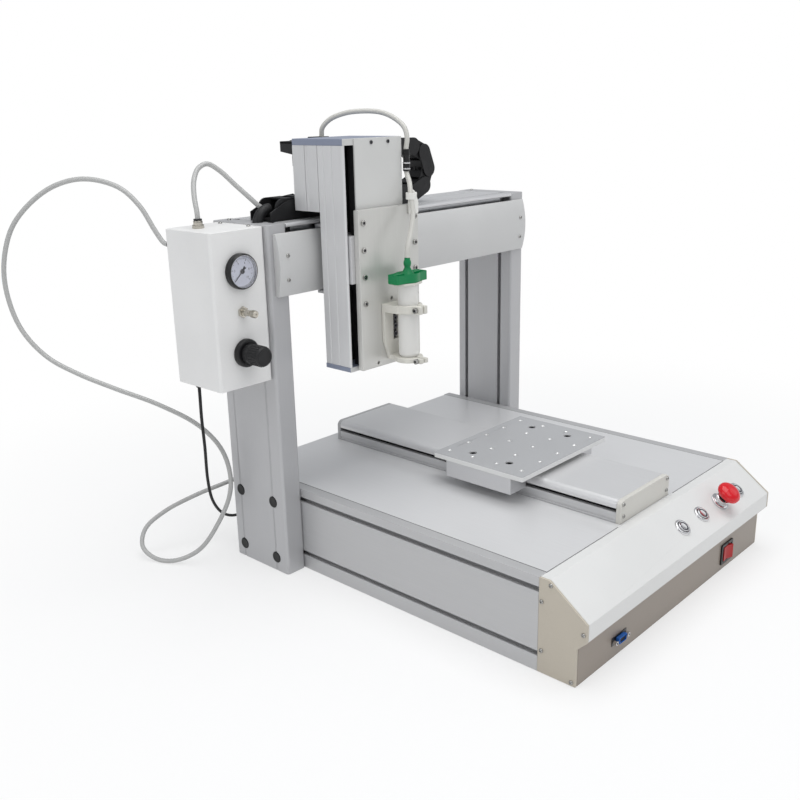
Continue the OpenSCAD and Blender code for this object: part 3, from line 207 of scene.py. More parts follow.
class Shade(Nodes):
    """A node material under construction, with one Principled shader."""

    def __init__(self, name: str) -> None:
        """Starts an empty material of that name."""
        self.material = bpy.data.materials.new(name)
        self.material.use_nodes = True
        super().__init__(self.material.node_tree)
        self.bsdf = self.add("ShaderNodeBsdfPrincipled")
        self.output = self.add("ShaderNodeOutputMaterial", None, {0: Value(self, self.bsdf.outputs[0])})

    def set(self, **sockets: object) -> "Shade":
        """Sets or links inputs of the Principled shader.

        Args:
            sockets: Input name, with _ for a space, to a Value or a plain value.

        Returns:
            This shade.
        """
        for key, value in sockets.items():
            self.feed(self.bsdf.inputs[key.replace("_", " ")], value)
        return self

    def place(self, scale: Point = (1.0, 1.0, 1.0)) -> Value:
        """Object coordinates, stretched by scale."""
        where = self.node("ShaderNodeTexCoord", result="Object")
        return self.node("ShaderNodeMapping", {"vector_type": "POINT"}, {"Vector": where, "Scale": scale})

    def noise(self, scale: float, stretch: Point = (1.0, 1.0, 1.0), detail: float = 3.0) -> Value:
        """A noise value round 0.5, with scale features to the metre."""
        return self.node("ShaderNodeTexNoise", None,
                         {"Vector": self.place(stretch), "Scale": scale, "Detail": detail})

    def bump(self, height: Value, depth: float) -> "Shade":
        """Roughens the surface by height times depth metres."""
        sockets = {"Height": height, "Distance": depth, "Strength": 1.0}
        return self.set(Normal=self.node("ShaderNodeBump", None, sockets, "Normal"))


# Finishes


def tint(colour: Colour, factor: float) -> Colour:
    """The colour made darker or lighter by a factor."""
    return tuple(min(1.0, c * factor) for c in colour)


@dataclass(frozen=True)
class Finish:
    """A surface finish: its material is made once and shared."""

    name: str
    colour: Colour
    rough: float = 0.5
    slot: str = "anodised"

    def shade(self) -> Shade:
        """Builds the node material."""
        raise NotImplementedError

    def material(self) -> bpy.types.Material:
        """The finish's material, made on first use."""
        return bpy.data.materials.get(self.name) or self.shade().material


@dataclass(frozen=True)
class Extruded(Finish):
    """Anodised aluminium with fine die lines along one direction."""

    lines: Axis = Axis.Z
    metal: float = 0.75
    depth: float = 0.00004
    line_scale: ClassVar[float] = 1500.0
    line_squeeze: ClassVar[float] = 0.012
    mark_scale: ClassVar[float] = 9.0
    tones: ClassVar[Pair] = (0.965, 1.025)

    def shade(self) -> Shade:
        """Die lines in colour, gloss and relief, with faint handling marks.

        Returns:
            The shade.
        """
        shade = Shade(self.name)
        stretch = tuple(self.line_squeeze if c else 1.0 for c in self.lines.value)
        fine = shade.noise(self.line_scale, stretch, 2.0)
        marks = shade.noise(self.mark_scale, detail=4.0)
        dark, light = (tint(self.colour, tone) for tone in self.tones)
        shade.set(Base_Color=(fine.ramp(0.25, 0.75) * 0.6 + marks * 0.4).mix(dark, light))
        shade.set(Metallic=self.metal, Roughness=fine * 0.10 + marks * 0.10 + (self.rough - 0.10))
        return shade.bump(fine, self.depth)


@dataclass(frozen=True)
class Channelled(Extruded):
    """An extrusion whose inside, boxes in millimetres, is coloured black as painted shade in its channels."""

    boxes: Tuple[Tuple[Point, Point], ...] = ()
    inner: ClassVar[Tuple[float, float, float, float]] = (0.012, 0.012, 0.013, 1.0)

    def shade(self) -> Shade:
        """The extruded finish, with the inside of the boxes painted black and dull: painted shade.

        Returns:
            The shade.
        """
        shade = super().shade()
        where = shade.node("ShaderNodeTexCoord", result="Object")
        ways = [shade.node("ShaderNodeSeparateXYZ", None, {0: where}, axis) for axis in "XYZ"]
        # Painted shade: points within a box take the black inner colour
        inside: Operand = 0.0
        for low, high in self.boxes:
            within: Operand = 1.0
            for along, start, end in zip(ways, low, high):
                within = within * along.above(start * MM) * (1 - along.above(end * MM))
            inside = within + inside
        link = shade.bsdf.inputs["Base Color"].links[0].from_socket
        black = shade.node("ShaderNodeMix", {"data_type": "RGBA"},
                           {0: inside, 6: Value(shade, link), 7: self.inner}, 2)
        return shade.set(Base_Color=black, Metallic=(1 - inside) * self.metal)


@dataclass(frozen=True)
class Coated(Finish):
    """Powder coat on sheet metal: a fine orange peel, a little dust and uneven gloss.

    Where it has another colour, that one is before the border's start along its axis, in
    millimetres, and the main colour is after the border's end.
    """

    peel: float = 0.00003
    soil: float = 0.06
    other: Optional[Colour] = None
    border: Tuple[str, float, float] = ("Z", 0.0, 0.0)
    peel_scale: ClassVar[float] = 1400.0
    cloud_scale: ClassVar[float] = 7.0
    speck_scale: ClassVar[float] = 420.0

    def clouded(self, tone: Value, colour: Colour) -> Value:
        """The colour, soiled where tone is low and a little lighter where it is high."""
        return tone.mix(tint(colour, 1.0 - self.soil), tint(colour, 1.0 + 0.3 * self.soil))

    def shade(self) -> Shade:
        """Orange peel in the relief and faint clouds in the colour.

        Returns:
            The shade.
        """
        shade = Shade(self.name)
        peel = shade.noise(self.peel_scale, detail=2.0)
        cloud = shade.noise(self.cloud_scale, detail=5.0)
        speck = shade.noise(self.speck_scale, detail=1.0).ramp(0.68, 0.76)
        tone = cloud.ramp(0.3, 0.7) * 0.8 + 0.2 - speck * 0.5
        paint_colour = self.clouded(tone, self.colour)
        if self.other:
            axis, start, end = self.border
            where = shade.node("ShaderNodeTexCoord", result="Object")
            share = shade.node("ShaderNodeSeparateXYZ", None, {0: where}, axis).ramp(start * MM, end * MM)
            paint_colour = shade.node("ShaderNodeMix", {"data_type": "RGBA"},
                                      {0: share, 6: self.clouded(tone, self.other), 7: paint_colour}, 2)
        shade.set(Base_Color=paint_colour)
        shade.set(Roughness=cloud * 0.16 + peel * 0.08 + (self.rough - 0.12))
        shade.set(Coat_Roughness=0.25, Coat_Weight=0.12)
        return shade.bump(peel, self.peel)


@dataclass(frozen=True)
class Moulded(Finish):
    """Moulded plastic with a spark-eroded grain."""

    grain: float = 0.00004
    wear: float = 0.25
    scale: float = 1600.0
    shine: float = 0.35
    rub_scale: ClassVar[float] = 60.0

    def shade(self) -> Shade:
        """Grain in the relief, rubbed patches in colour and gloss.

        Returns:
            The shade.
        """
        shade = Shade(self.name)
        grain = shade.noise(self.scale, detail=2.0)
        rubbed = shade.noise(self.rub_scale, detail=4.0).ramp(0.42, 0.72)
        pale = tuple(min(1.0, c * 1.3 + 0.008) for c in self.colour)
        shade.set(Base_Color=(rubbed * self.wear + grain * 0.15).mix(self.colour, pale))
        shade.set(Roughness=grain * 0.14 - rubbed * 0.10 + self.rough)
        shade.set(Specular_IOR_Level=self.shine)
        return shade.bump(grain, self.grain)


@dataclass(frozen=True)
class Polished(Finish):
    """Plated, ground or turned metal with fine tool marks."""

    marks: float = 0.00001
    scale: float = 1200.0
    stain_scale: ClassVar[float] = 45.0
    tones: ClassVar[Pair] = (0.86, 1.06)

    def shade(self) -> Shade:
        """Bright metal whose gloss varies with the tool marks.

        Returns:
            The shade.
        """
        shade = Shade(self.name)
        marks = shade.noise(self.scale)
        stain = shade.noise(self.stain_scale, detail=4.0)
        dark, light = (tint(self.colour, tone) for tone in self.tones)
        shade.set(Base_Color=(marks * 0.5 + stain * 0.5).ramp(0.25, 0.75).mix(dark, light))
        shade.set(Metallic=1.0, Roughness=marks * 0.12 + stain * 0.12 + (self.rough - 0.12))
        return shade.bump(marks, self.marks)


@dataclass(frozen=True)
class Translucent(Finish):
    """Clear or milky plastic that lets light through."""

    through: float = 0.7
    cloudy: float = 0.3
    haze_scale: ClassVar[float] = 14.0
    refraction: ClassVar[float] = 1.42

    def shade(self) -> Shade:
        """Light passes through, more or less clouded.

        Returns:
            The shade.
        """
        shade = Shade(self.name)
        haze = shade.noise(self.haze_scale, detail=2.0)
        shade.set(Base_Color=(haze.ramp(0.3, 0.7) * self.cloudy).mix(self.colour, tint(self.colour, 0.9)))
        shade.set(Roughness=haze * 0.12 + (self.rough - 0.06))
        return shade.set(Transmission_Weight=self.through, IOR=self.refraction)


class Finishes:
    """Every finish of the robot, named for where it is used."""

    # Darker than the deck's aluminium: painted shade for the columns' vertical faces
    column = Extruded("extruded_upright", (0.50, 0.50, 0.51), 0.42, "anodised", Axis.Z, 0.30)
    # The beam's channel is painted black as painted shade
    beam = Channelled("extruded_beam", (0.68, 0.68, 0.69), 0.34, "anodised", Axis.X, 0.45, 0.00003,
                      (((-226.0, 152.4, 364.0), (226.0, 249.0, 447.0)),
                       ((-226.0, 160.0, 450.6), (226.0, 250.5, 451.7))))
    # Darker than the deck's aluminium: painted shade for the side profiles' vertical faces
    side = Extruded("extruded_side", (0.52, 0.52, 0.525), 0.42, "anodised", Axis.Y, 0.30)
    deck = Extruded("deck_sheet", (0.76, 0.76, 0.765), 0.32, "anodised", Axis.Y, 0.30, 0.00001)
    axis_cover = Extruded("axis_cover", (0.71, 0.71, 0.715), 0.32, "anodised", Axis.Y, 0.35, 0.00001)
    # The head profile's channel is painted black as painted shade
    upright_head = Channelled("extruded_head", (0.70, 0.70, 0.705), 0.40, "anodised", Axis.Z, 0.25, 0.00002,
                              (((-188.9, 85.4, 270.0), (-97.2, 128.5, 545.0)),))
    housing = Extruded("extruded_housing", (0.68, 0.68, 0.685), 0.40, "anodised", Axis.Z, 0.25)
    machined = Extruded("milled_aluminium", (0.66, 0.66, 0.67), 0.36, "anodised", Axis.X, 0.55)
    table = Coated("table_plate_grey", (0.43, 0.435, 0.445), 0.36, "table_grey", 0.00002, 0.05,
                   (0.80, 0.80, 0.79), ("Z", 152.1, 152.5))
    module = Extruded("extruded_axis", (0.58, 0.58, 0.585), 0.40, "anodised", Axis.Y, 0.30)
    end_plate = Coated("end_plate_white", (0.44, 0.44, 0.445), 0.44, "painted_grey", 0.00003, 0.06,
                       (0.66, 0.645, 0.60), ("Y", -1.0, 1.0))
    clip = Moulded("clip_white", (0.80, 0.79, 0.75), 0.40, "nylon", 0.00002)
    beam_cover = Coated("beam_cover_grey", (0.62, 0.62, 0.615), 0.44, "painted_grey")
    # The head cover is black except its grey front face: painted shade in the slots beside it
    head_cover = Coated("head_cover_grey", (0.012, 0.012, 0.013), 0.40, "painted_grey", 0.00003, 0.06,
                        (0.66, 0.66, 0.645), ("Y", 84.9, 85.2))
    tool_plate = Extruded("tool_plate_grey", (0.63, 0.625, 0.60), 0.34, "painted_grey", Axis.Z, 0.40)
    # Below the fold the console's front is a dark warm brown: painted shade under the lip
    console = Coated("console_grey", (0.73, 0.73, 0.72), 0.36, "painted_grey", 0.00003, 0.05,
                     (0.285, 0.24, 0.20), ("Z", 55.5, 58.5))
    cheek = Coated("cheek_beige", (0.53, 0.48, 0.40), 0.46, "painted_grey")
    seam = Moulded("seam_sealant", (0.16, 0.16, 0.16), 0.60, "black_plastic", 0.00002)
    tray = Coated("tray_grey", (0.50, 0.49, 0.47), 0.55, "painted_grey")
    box = Coated("box_white", (0.84, 0.835, 0.825), 0.46, "painted_white")
    cap = Coated("blue_grey_coat", (0.25, 0.28, 0.37), 0.42, "cap_blue_grey", 0.00003, 0.06,
                 (0.62, 0.62, 0.61), ("Y", 85.3, 85.7))
    black = Moulded("black_nylon", (0.010, 0.010, 0.011), 0.42, "black_plastic", 0.00003)
    chain = Moulded("chain_nylon", (0.010, 0.010, 0.011), 0.44, "black_plastic", 0.00005, 0.3, 900.0)
    gloss_black = Moulded("gloss_black", (0.010, 0.010, 0.011), 0.24, "black_plastic", 0.00001)
    red = Moulded("signal_red", (0.64, 0.006, 0.014), 0.13, "red_plastic", 0.00001, 0.05, 1600.0, 0.5)
    dark_red = Moulded("rocker_red", (0.42, 0.006, 0.008), 0.30, "red_plastic", 0.00001, 0.05)
    green = Moulded("cap_green", (0.0, 0.20, 0.065), 0.30, "green_plastic", 0.00002, 0.05)
    blue = Moulded("port_blue", (0.02, 0.13, 0.48), 0.30, "blue_socket", 0.00001)
    nylon = Moulded("milky_nylon", (0.66, 0.645, 0.59), 0.42, "nylon", 0.00003, 0.3, 700.0)
    motor = Moulded("motor_black", (0.012, 0.012, 0.013), 0.40, "black_motor", 0.00003)
    steel = Polished("ground_steel", (0.60, 0.61, 0.63), 0.30, "steel")
    plated = Polished("nickel_plate", (0.70, 0.70, 0.71), 0.18, "plated")
    bright = Polished("bright_thread", (0.92, 0.92, 0.91), 0.38, "plated")
    screw = Polished("zinc_screw", (0.44, 0.435, 0.42), 0.26, "bright_screw")
    # Blackened screws; also the port plate and the bracket slot's strip, as painted shade
    dark_screw_and_shade = Polished("blackened_screw", (0.10, 0.10, 0.105), 0.34, "bright_screw")
    brass = Polished("plated_brass", (0.56, 0.53, 0.47), 0.24, "brass")
    glass = Translucent("gauge_glass", (0.97, 0.98, 1.0), 0.06, "clear", 1.0, 0.05)
    barrel = Translucent("milky_barrel", (0.93, 0.92, 0.89), 0.36, "barrel", 0.25)
    tube = Translucent("clear_tube", (0.52, 0.52, 0.51), 0.18, "tube", 0.12, 0.1)
    hose = Translucent("milky_hose", (0.64, 0.63, 0.59), 0.28, "tube", 0.08, 0.1)
    jacket = Moulded("cable_jacket", (0.010, 0.010, 0.011), 0.46, "cable", 0.00003)
    paper = Moulded("dial_white", (0.66, 0.67, 0.75), 0.50, "painted_white", 0.00001, 0.2)
    # Dial print and black parts; also the bottoms of screw sockets, as painted shade
    ink_and_shade = Moulded("dial_ink", (0.012, 0.012, 0.02), 0.55, "black_plastic", 0.00001)


# Modelling by operators


BODY_OF: Dict[str, str] = {
    node: body for body, nodes in frame["record"]["behaviour"]["bodies"].items() for node in nodes}

Way = Union[Axis, Vector]


def direction(axis: Way) -> Vector:
    """An axis or a vector as a vector."""
    return axis.vector() if isinstance(axis, Axis) else Vector(axis)


def metres(point: Sequence[float]) -> Vector:
    """A point in millimetres as a vector in metres."""
    return Vector([c * MM for c in point])


def shift(*where: float) -> Matrix:
    """A move by x, y and z in millimetres."""
    return Matrix.Translation(metres(where))


def at(where: Sequence[float], axis: Way = Axis.Z, spin: float = 0.0) -> Matrix:
    """A place in millimetres with +Z turned to axis, and a turn about it in degrees."""
    turn = direction(axis).to_track_quat("Z", "Y").to_matrix().to_4x4()
    return shift(*where) @ turn @ Matrix.Rotation(math.radians(spin), 4, "Z")


def only(*objects: bpy.types.Object) -> None:
    """Selects these objects alone.

    Args:
        objects: The objects; the first one is made active.
    """
    bpy.ops.object.select_all(action="DESELECT")
    for item in objects:
        item.select_set(True)
    bpy.context.view_layer.objects.active = objects[0]


class Work:
    """One mesh that is being modelled, and then dressed."""

    def __init__(self, obj: bpy.types.Object, name: str) -> None:
        """Takes over a new object and names it."""
        self.obj = obj
        obj.name = name
        obj.data.name = name

    @staticmethod
    def _new(name: str) -> "Work":
        """Wraps the object that an operator has just added, with its place in its mesh.

        Args:
            name: The piece's name.

        Returns:
            The piece.
        """
        obj = bpy.context.active_object
        bpy.ops.object.transform_apply(location=True, rotation=True, scale=True)
        return Work(obj, name)

    @classmethod
    def slab(cls, name: str, low: Sequence[float], high: Sequence[float]) -> "Work":
        """A box between two corners.

        Args:
            name: The piece's name.
            low: The corner with the least x, y and z.
            high: The corner opposite.

        Returns:
            The box.
        """
        bpy.ops.object.select_all(action="DESELECT")
        middle = [(a + b) / 2 * MM for a, b in zip(low, high)]
        bpy.ops.mesh.primitive_cube_add(size=1.0, location=middle)
        bpy.context.active_object.scale = [(b - a) * MM for a, b in zip(low, high)]
        return cls._new(name)

    @classmethod
    def rod(cls, name: str, start: Sequence[float], axis: Way, length: float, radius: float,
            sides: int = 32) -> "Work":
        """A cylinder or a regular prism.

        Args:
            name: The piece's name.
            start: Middle of the end it grows from.
            axis: The way it grows.
            length: Its length.
            radius: Radius of its corners.
            sides: How many faces go round.

        Returns:
            The closed piece.
        """
        bpy.ops.object.select_all(action="DESELECT")
        way = direction(axis)
        bpy.ops.mesh.primitive_cylinder_add(
            vertices=sides, radius=radius * MM, depth=length * MM,
            location=metres(start) + way.normalized() * (length / 2 * MM),
            rotation=way.to_track_quat("Z", "Y").to_euler())
        return cls._new(name)

    @classmethod
    def line(cls, name: str, points: Sequence[Sequence[float]]) -> "Work":
        """A chain of edges, drawn by extruding one vertex. Stays in edit mode.

        Args:
            name: The piece's name.
            points: What the edges go through.

        Returns:
            The edges.
        """
        bpy.ops.object.select_all(action="DESELECT")
        bpy.ops.mesh.primitive_plane_add(size=0.01, location=(0.0, 0.0, 0.0))
        work = Work(bpy.context.active_object, name)
        bpy.ops.object.mode_set(mode="EDIT")
        bpy.ops.mesh.select_all(action="SELECT")
        bpy.ops.mesh.merge(type="CENTER")
        bpy.ops.transform.translate(value=[c * MM for c in points[0]])
        for before, after in zip(points, points[1:]):
            step = [b * MM - a * MM for a, b in zip(before, after)]
            bpy.ops.mesh.extrude_region_move(TRANSFORM_OT_translate={"value": step})
        return work

    @classmethod
    def turned(cls, name: str, profile: Sequence[Pair], base: Sequence[float] = (0, 0, 0),
               axis: Way = Axis.Z, steps: int = 48) -> "Work":
        """A turned piece.

        Args:
            name: The piece's name.
            profile: (radius, height) pairs from the axis outwards and back.
            base: Where height 0 is.
            axis: The direction of growing height.
            steps: How many faces go round.

        Returns:
            The closed piece.
        """
        work = cls.line(name, [(r, 0.0, z) for r, z in profile])
        bpy.ops.mesh.select_all(action="SELECT")
        bpy.ops.mesh.spin(steps=steps, angle=2 * math.pi, center=(0.0, 0.0, 0.0), axis=(0.0, 0.0, 1.0))
        bpy.ops.mesh.select_all(action="SELECT")
        bpy.ops.mesh.remove_doubles(threshold=WELD)
        bpy.ops.mesh.normals_make_consistent(inside=False)
        bpy.ops.object.mode_set(mode="OBJECT")
        return work.move(at(base, axis))

    @classmethod
    def prism(cls, name: str, outline: Sequence[Sequence[float]], push: Sequence[float]) -> "Work":
        """A flat outline, filled and pushed to a solid.

        Args:
            name: The piece's name.
            outline: Its 3-D points, in order.
            push: The way and how far.

        Returns:
            The closed piece.
        """
        work = cls.line(name, outline)
        bpy.ops.mesh.select_all(action="SELECT")
        bpy.ops.mesh.edge_face_add()
        bpy.ops.mesh.extrude_region_move(TRANSFORM_OT_translate={"value": [c * MM for c in push]})
        bpy.ops.mesh.select_all(action="SELECT")
        bpy.ops.mesh.normals_make_consistent(inside=False)
        bpy.ops.object.mode_set(mode="OBJECT")
        return work

    @classmethod
    def copy_of(cls, node: str, name: str) -> "Work":
        """A copy of a CAD node, its triangles merged into whole faces.

        Args:
            node: The CAD node.
            name: The piece's name.

        Returns:
            The copy.
        """
        source = frame["nodes"][node]
        only(source)
        bpy.ops.object.duplicate()
        obj = bpy.context.active_object
        obj.parent = None
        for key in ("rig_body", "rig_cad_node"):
            if key in obj:
                del obj[key]
        obj.data.materials.clear()
        bpy.ops.object.mode_set(mode="EDIT")
        bpy.ops.mesh.select_all(action="SELECT")
        bpy.ops.mesh.remove_doubles(threshold=CAD_WELD)
        bpy.ops.mesh.dissolve_limited(angle_limit=math.radians(FLAT))
        bpy.ops.object.mode_set(mode="OBJECT")
        return cls(obj, name)

    def apply(self, kind: str, **settings: object) -> "Work":
        """Adds one modifier and applies it.

        Args:
            kind: The modifier's type.
            settings: Its settings by name.

        Returns:
            This piece.
        """
        only(self.obj)
        modifier = self.obj.modifiers.new(kind.lower(), kind)
        for key, value in settings.items():
            setattr(modifier, key, value)
        bpy.ops.object.modifier_apply(modifier=modifier.name)
        return self

    def inset(self, test: Callable[[Vector, Vector], bool], width: float, depth: float) -> "Work":
        """Insets faces and moves them along their normal.

        Args:
            test: Tells from a face's middle and normal whether it is taken.
            width: Width of the rim that is left.
            depth: How far the faces move out, or in where it is negative.

        Returns:
            This piece.
        """
        only(self.obj)
        bpy.ops.object.mode_set(mode="EDIT")
        bpy.ops.mesh.select_mode(type="FACE")
        bpy.ops.mesh.select_all(action="DESELECT")
        bpy.ops.object.mode_set(mode="OBJECT")
        for face in self.obj.data.polygons:
            face.select = test(face.center, face.normal)
        bpy.ops.object.mode_set(mode="EDIT")
        bpy.ops.mesh.inset(thickness=width * MM, depth=depth * MM)
        bpy.ops.mesh.select_mode(type="VERT")
        bpy.ops.object.mode_set(mode="OBJECT")
        return self

    def bevel(self, width: float, segments: int = 2, angle: float = 32.0) -> "Work":
        """Breaks every edge that is sharper than angle."""
        return self.apply("BEVEL", width=width * MM, segments=segments, limit_method="ANGLE",
                          angle_limit=math.radians(angle), use_clamp_overlap=False)

    def smooth(self, angle: float = 60.0) -> "Work":
        """Smooth shading that leaves flat faces flat.

        Args:
            angle: Edges sharper than this stay sharp, in degrees.

        Returns:
            This piece.
        """
        only(self.obj)
        bpy.ops.object.shade_smooth_by_angle(angle=math.radians(angle))
        return self.apply("WEIGHTED_NORMAL", keep_sharp=True, weight=80)

    def cut(self, *tools: "Work") -> "Work":
        """Takes other pieces out of this one.

        Args:
            tools: The pieces, which go.

        Returns:
            This piece.
        """
        for tool in tools:
            self.apply("BOOLEAN", operation="DIFFERENCE", object=tool.obj, solver="EXACT")
            bpy.data.objects.remove(tool.obj)
        return self

    def add(self, *others: "Work") -> "Work":
        """Joins other pieces to this one.

        Args:
            others: The pieces, which become part of it.

        Returns:
            This piece.
        """
        if others:
            only(self.obj, *[o.obj for o in others])
            bpy.ops.object.join()
        return self

    def move(self, matrix: Matrix) -> "Work":
        """Moves the mesh.

        Args:
            matrix: Where its origin goes.

        Returns:
            This piece.
        """
        self.obj.matrix_world = matrix
        only(self.obj)
        bpy.ops.object.transform_apply(location=True, rotation=True, scale=True)
        return self

    def twin(self, name: str) -> "Work":
        """A copy of this piece.

        Args:
            name: The copy's name.

        Returns:
            The copy, with a mesh of its own.
        """
        copy = self.obj.copy()
        copy.data = self.obj.data.copy()
        bpy.context.scene.collection.objects.link(copy)
        return Work(copy, name)

    def repeated(self, name: str, places: Iterable[Matrix]) -> "Work":
        """Copies of this piece, joined to one; this one goes.

        Args:
            name: The new piece's name.
            places: Where the copies stand.

        Returns:
            The new piece.
        """
        copies: List[Work] = []
        for number, place in enumerate(places):
            copies.append(self.twin("%s_%d" % (name, number)).move(place))
        bpy.data.objects.remove(self.obj)
        whole = copies[0].add(*copies[1:])
        whole.obj.name = name
        return whole

    def coat(self, finish: Finish) -> None:
        """Gives the piece its material.

        Args:
            finish: The surface.
        """
        self.obj.data.materials.clear()
        self.obj.data.materials.append(finish.material())

    def dress(self, finish: Finish, body: Optional[str] = None,
              replaces: Sequence[str] = ()) -> bpy.types.Object:
        """Gives the piece its finish and its body.

        Args:
            finish: The surface.
            body: The CAD body it moves with, or None for the first replaced node's body.
            replaces: CAD nodes that the piece stands for.

        Returns:
            The finished object.
        """
        self.coat(finish)
        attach(self.obj, body or BODY_OF[replaces[0]])
        if replaces:
            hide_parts(*replaces)
        log.info("piece %s: %s", self.obj.name, finish.name)
        return self.obj


def soften(node: str, finish: Finish, width: float = 0.4, segments: int = 2) -> bpy.types.Object:
    """A CAD node with its edges broken, in its finish.

    Args:
        node: The CAD node.
        finish: The surface.
        width: Width of the broken edges.
        segments: Facets across an edge.

    Returns:
        The piece that stands for the node.
    """
    work = Work.copy_of(node, node + "_dressed").bevel(width, segments).smooth()
    return work.dress(finish, replaces=(node,))


def paint(node: str, finish: Finish) -> None:
    """Gives a CAD node that is shown as it is its finish.

    Args:
        node: The CAD node.
        finish: The surface.
    """
    obj = frame["nodes"][node]
    obj.data.materials.clear()
    obj.data.materials.append(finish.material())
    log.info("node %s: %s", node, finish.name)


class Recess(Enum):
    """The drive in a screw's head."""

    CROSS = "cross"
    HEXAGON = "hexagon"


@dataclass
class Screw:
    """A screw head that stands on a face, along +Z."""

    diameter: float = 5.0
    height: float = 1.9
    recess: Recess = Recess.CROSS

    def build(self) -> Work:
        """The head with its drive.

        Returns:
            The head, standing at the origin.
        """
        r, h = self.diameter / 2, self.height
        if self.recess is Recess.HEXAGON:
            profile = [(0, 0), (r, 0), (r, h * 0.86), (r * 0.93, h), (0, h)]
            tools = [Work.rod("drive", (0, 0, h * 0.35), Axis.Z, h, r * 0.58, 6)]
        else:
            profile = [(0, 0), (r, 0), (r, h * 0.40), (r * 0.86, h * 0.74), (r * 0.55, h * 0.95), (0, h)]
            wide, slim = r * 0.62, r * 0.17
            tools = [Work.slab("drive_a", (-wide, -slim, h * 0.45), (wide, slim, h * 2)),
                     Work.slab("drive_b", (-slim, -wide, h * 0.45), (slim, wide, h * 2))]
        return Work.turned("screw_head", profile, steps=24).cut(*tools).smooth(40)

    def socket(self) -> Work:
        """A dark piece at the bottom of a hexagon socket: painted shade in the recess."""
        r, h = self.diameter / 2, self.height
        return Work.rod("socket", (0, 0, h * 0.33), Axis.Z, h * 0.24, r * 0.57, 6).bevel(0.08, 1)


# Sub-assemblies


@dataclass
class Studio:
    """White floor, soft light and the camera at the photograph's viewpoint."""

    lens: float = 42.455
    sensor: float = 36.0
    nearest: float = 0.01
    azimuth: float = -46.9516
    elevation: float = 17.2519
    roll: float = 1.3163
    stand: Point = (-0.9631, -0.7159, 0.5808)
    surround: Tuple[float, float, float, float] = (0.93, 0.96, 1.0, 1.0)
    surround_power: float = 0.42
    floor_radius: float = 9.0
    floor_z: float = -0.0004
    shadow_ends: Pair = (0.35, 1.15)
    glow_near: float = 0.58
    lamps: Tuple[Tuple[Point, Point, float, float], ...] = (
        ((-0.6, -2.2, 2.2), (0, 0, 0.25), 1.8, 14.0),
        ((1.9, -1.6, 1.6), (0, 0, 0.25), 1.6, 5.0),
        ((-2.4, 0.4, 1.6), (0, 0, 0.3), 1.6, 11.0),
        ((0.0, -0.2, 2.8), (0, 0, 0.2), 2.4, 46.0))

    def camera(self) -> None:
        """Adds the camera."""
        around, tilt, lean = (math.radians(v) for v in (self.azimuth, self.elevation, self.roll))
        back = Vector((math.sin(around) * math.cos(tilt), -math.cos(around) * math.cos(tilt), math.sin(tilt)))
        right = Vector((math.cos(around), math.sin(around), 0.0))
        up = back.cross(right)
        side = math.cos(lean) * right - math.sin(lean) * up
        top = math.sin(lean) * right + math.cos(lean) * up
        bpy.ops.object.camera_add()
        camera = bpy.context.active_object
        camera.data.lens = self.lens
        camera.data.sensor_width = self.sensor
        camera.data.clip_start = self.nearest
        turn = Matrix((side, top, back)).transposed().to_4x4()
        camera.matrix_world = Matrix.Translation(Vector(self.stand)) @ turn
        bpy.context.scene.camera = camera

    def _lamp(self, where: Point, target: Point, size: float, power: float) -> None:
        """One square soft lamp.

        Args:
            where: Its place.
            target: What it faces.
            size: Length of a side.
            power: Watts.
        """
        aim = Vector(target) - Vector(where)
        turn = aim.to_track_quat("-Z", "Y").to_euler()
        bpy.ops.object.light_add(type="AREA", location=where, rotation=turn)
        lamp = bpy.context.active_object.data
        lamp.size = size
        lamp.energy = power

    def light(self) -> None:
        """Soft lamps and an even surround."""
        for lamp in self.lamps:
            self._lamp(*lamp)
        world = bpy.data.worlds.new("surround")
        world.use_nodes = True
        bpy.context.scene.world = world
        nodes = Nodes(world.node_tree)
        ray = nodes.add("ShaderNodeLightPath")
        straight, through = (Value(nodes, ray.outputs["Is %s Ray" % kind])
                             for kind in ("Camera", "Transmission"))
        seen = nodes.node("ShaderNodeMath", {"operation": "MAXIMUM"}, {0: straight, 1: through})
        dim = nodes.node("ShaderNodeBackground", None, {0: self.surround, 1: self.surround_power})
        white = nodes.node("ShaderNodeBackground", None, {0: (1.0, 1.0, 1.0, 1.0), 1: 1.0})
        mixed = nodes.node("ShaderNodeMixShader", None, {0: seen, 1: dim, 2: white})
        nodes.add("ShaderNodeOutputWorld", None, {0: mixed})
        bpy.context.scene.view_settings.view_transform = "Standard"

    def floor(self) -> None:
        """A white floor that keeps the shadow near the object and is plain white further off."""
        bpy.ops.mesh.primitive_circle_add(
            vertices=96, radius=self.floor_radius, fill_type="NGON", location=(0, 0, self.floor_z))
        floor = bpy.context.active_object
        bpy.ops.object.transform_apply(location=True, rotation=True, scale=True)
        floor.name = "floor"
        shade = Shade("floor_white")
        shade.set(Base_Color=(0.90, 0.90, 0.90, 1.0), Roughness=0.9)
        far = shade.node("ShaderNodeVectorMath", {"operation": "LENGTH"}, {0: shade.place()}, "Value")
        ray = shade.add("ShaderNodeLightPath")
        seen = Value(shade, ray.outputs["Is Camera Ray"]) + Value(shade, ray.outputs["Is Glossy Ray"])
        seen = seen + Value(shade, ray.outputs["Is Transmission Ray"])
        glow = shade.node("ShaderNodeEmission", None, {"Color": (1.0, 1.0, 1.0, 1.0), "Strength": 1.0})
        share = far.ramp(*self.shadow_ends) * (1 - self.glow_near) + self.glow_near
        share = share * seen.above(0.5)
        lit = Value(shade, shade.bsdf.outputs[0])
        mixed = shade.node("ShaderNodeMixShader", None, {0: share, 1: lit, 2: glow})
        shade.feed(shade.output.inputs[0], mixed)
        floor.data.materials.append(shade.material)


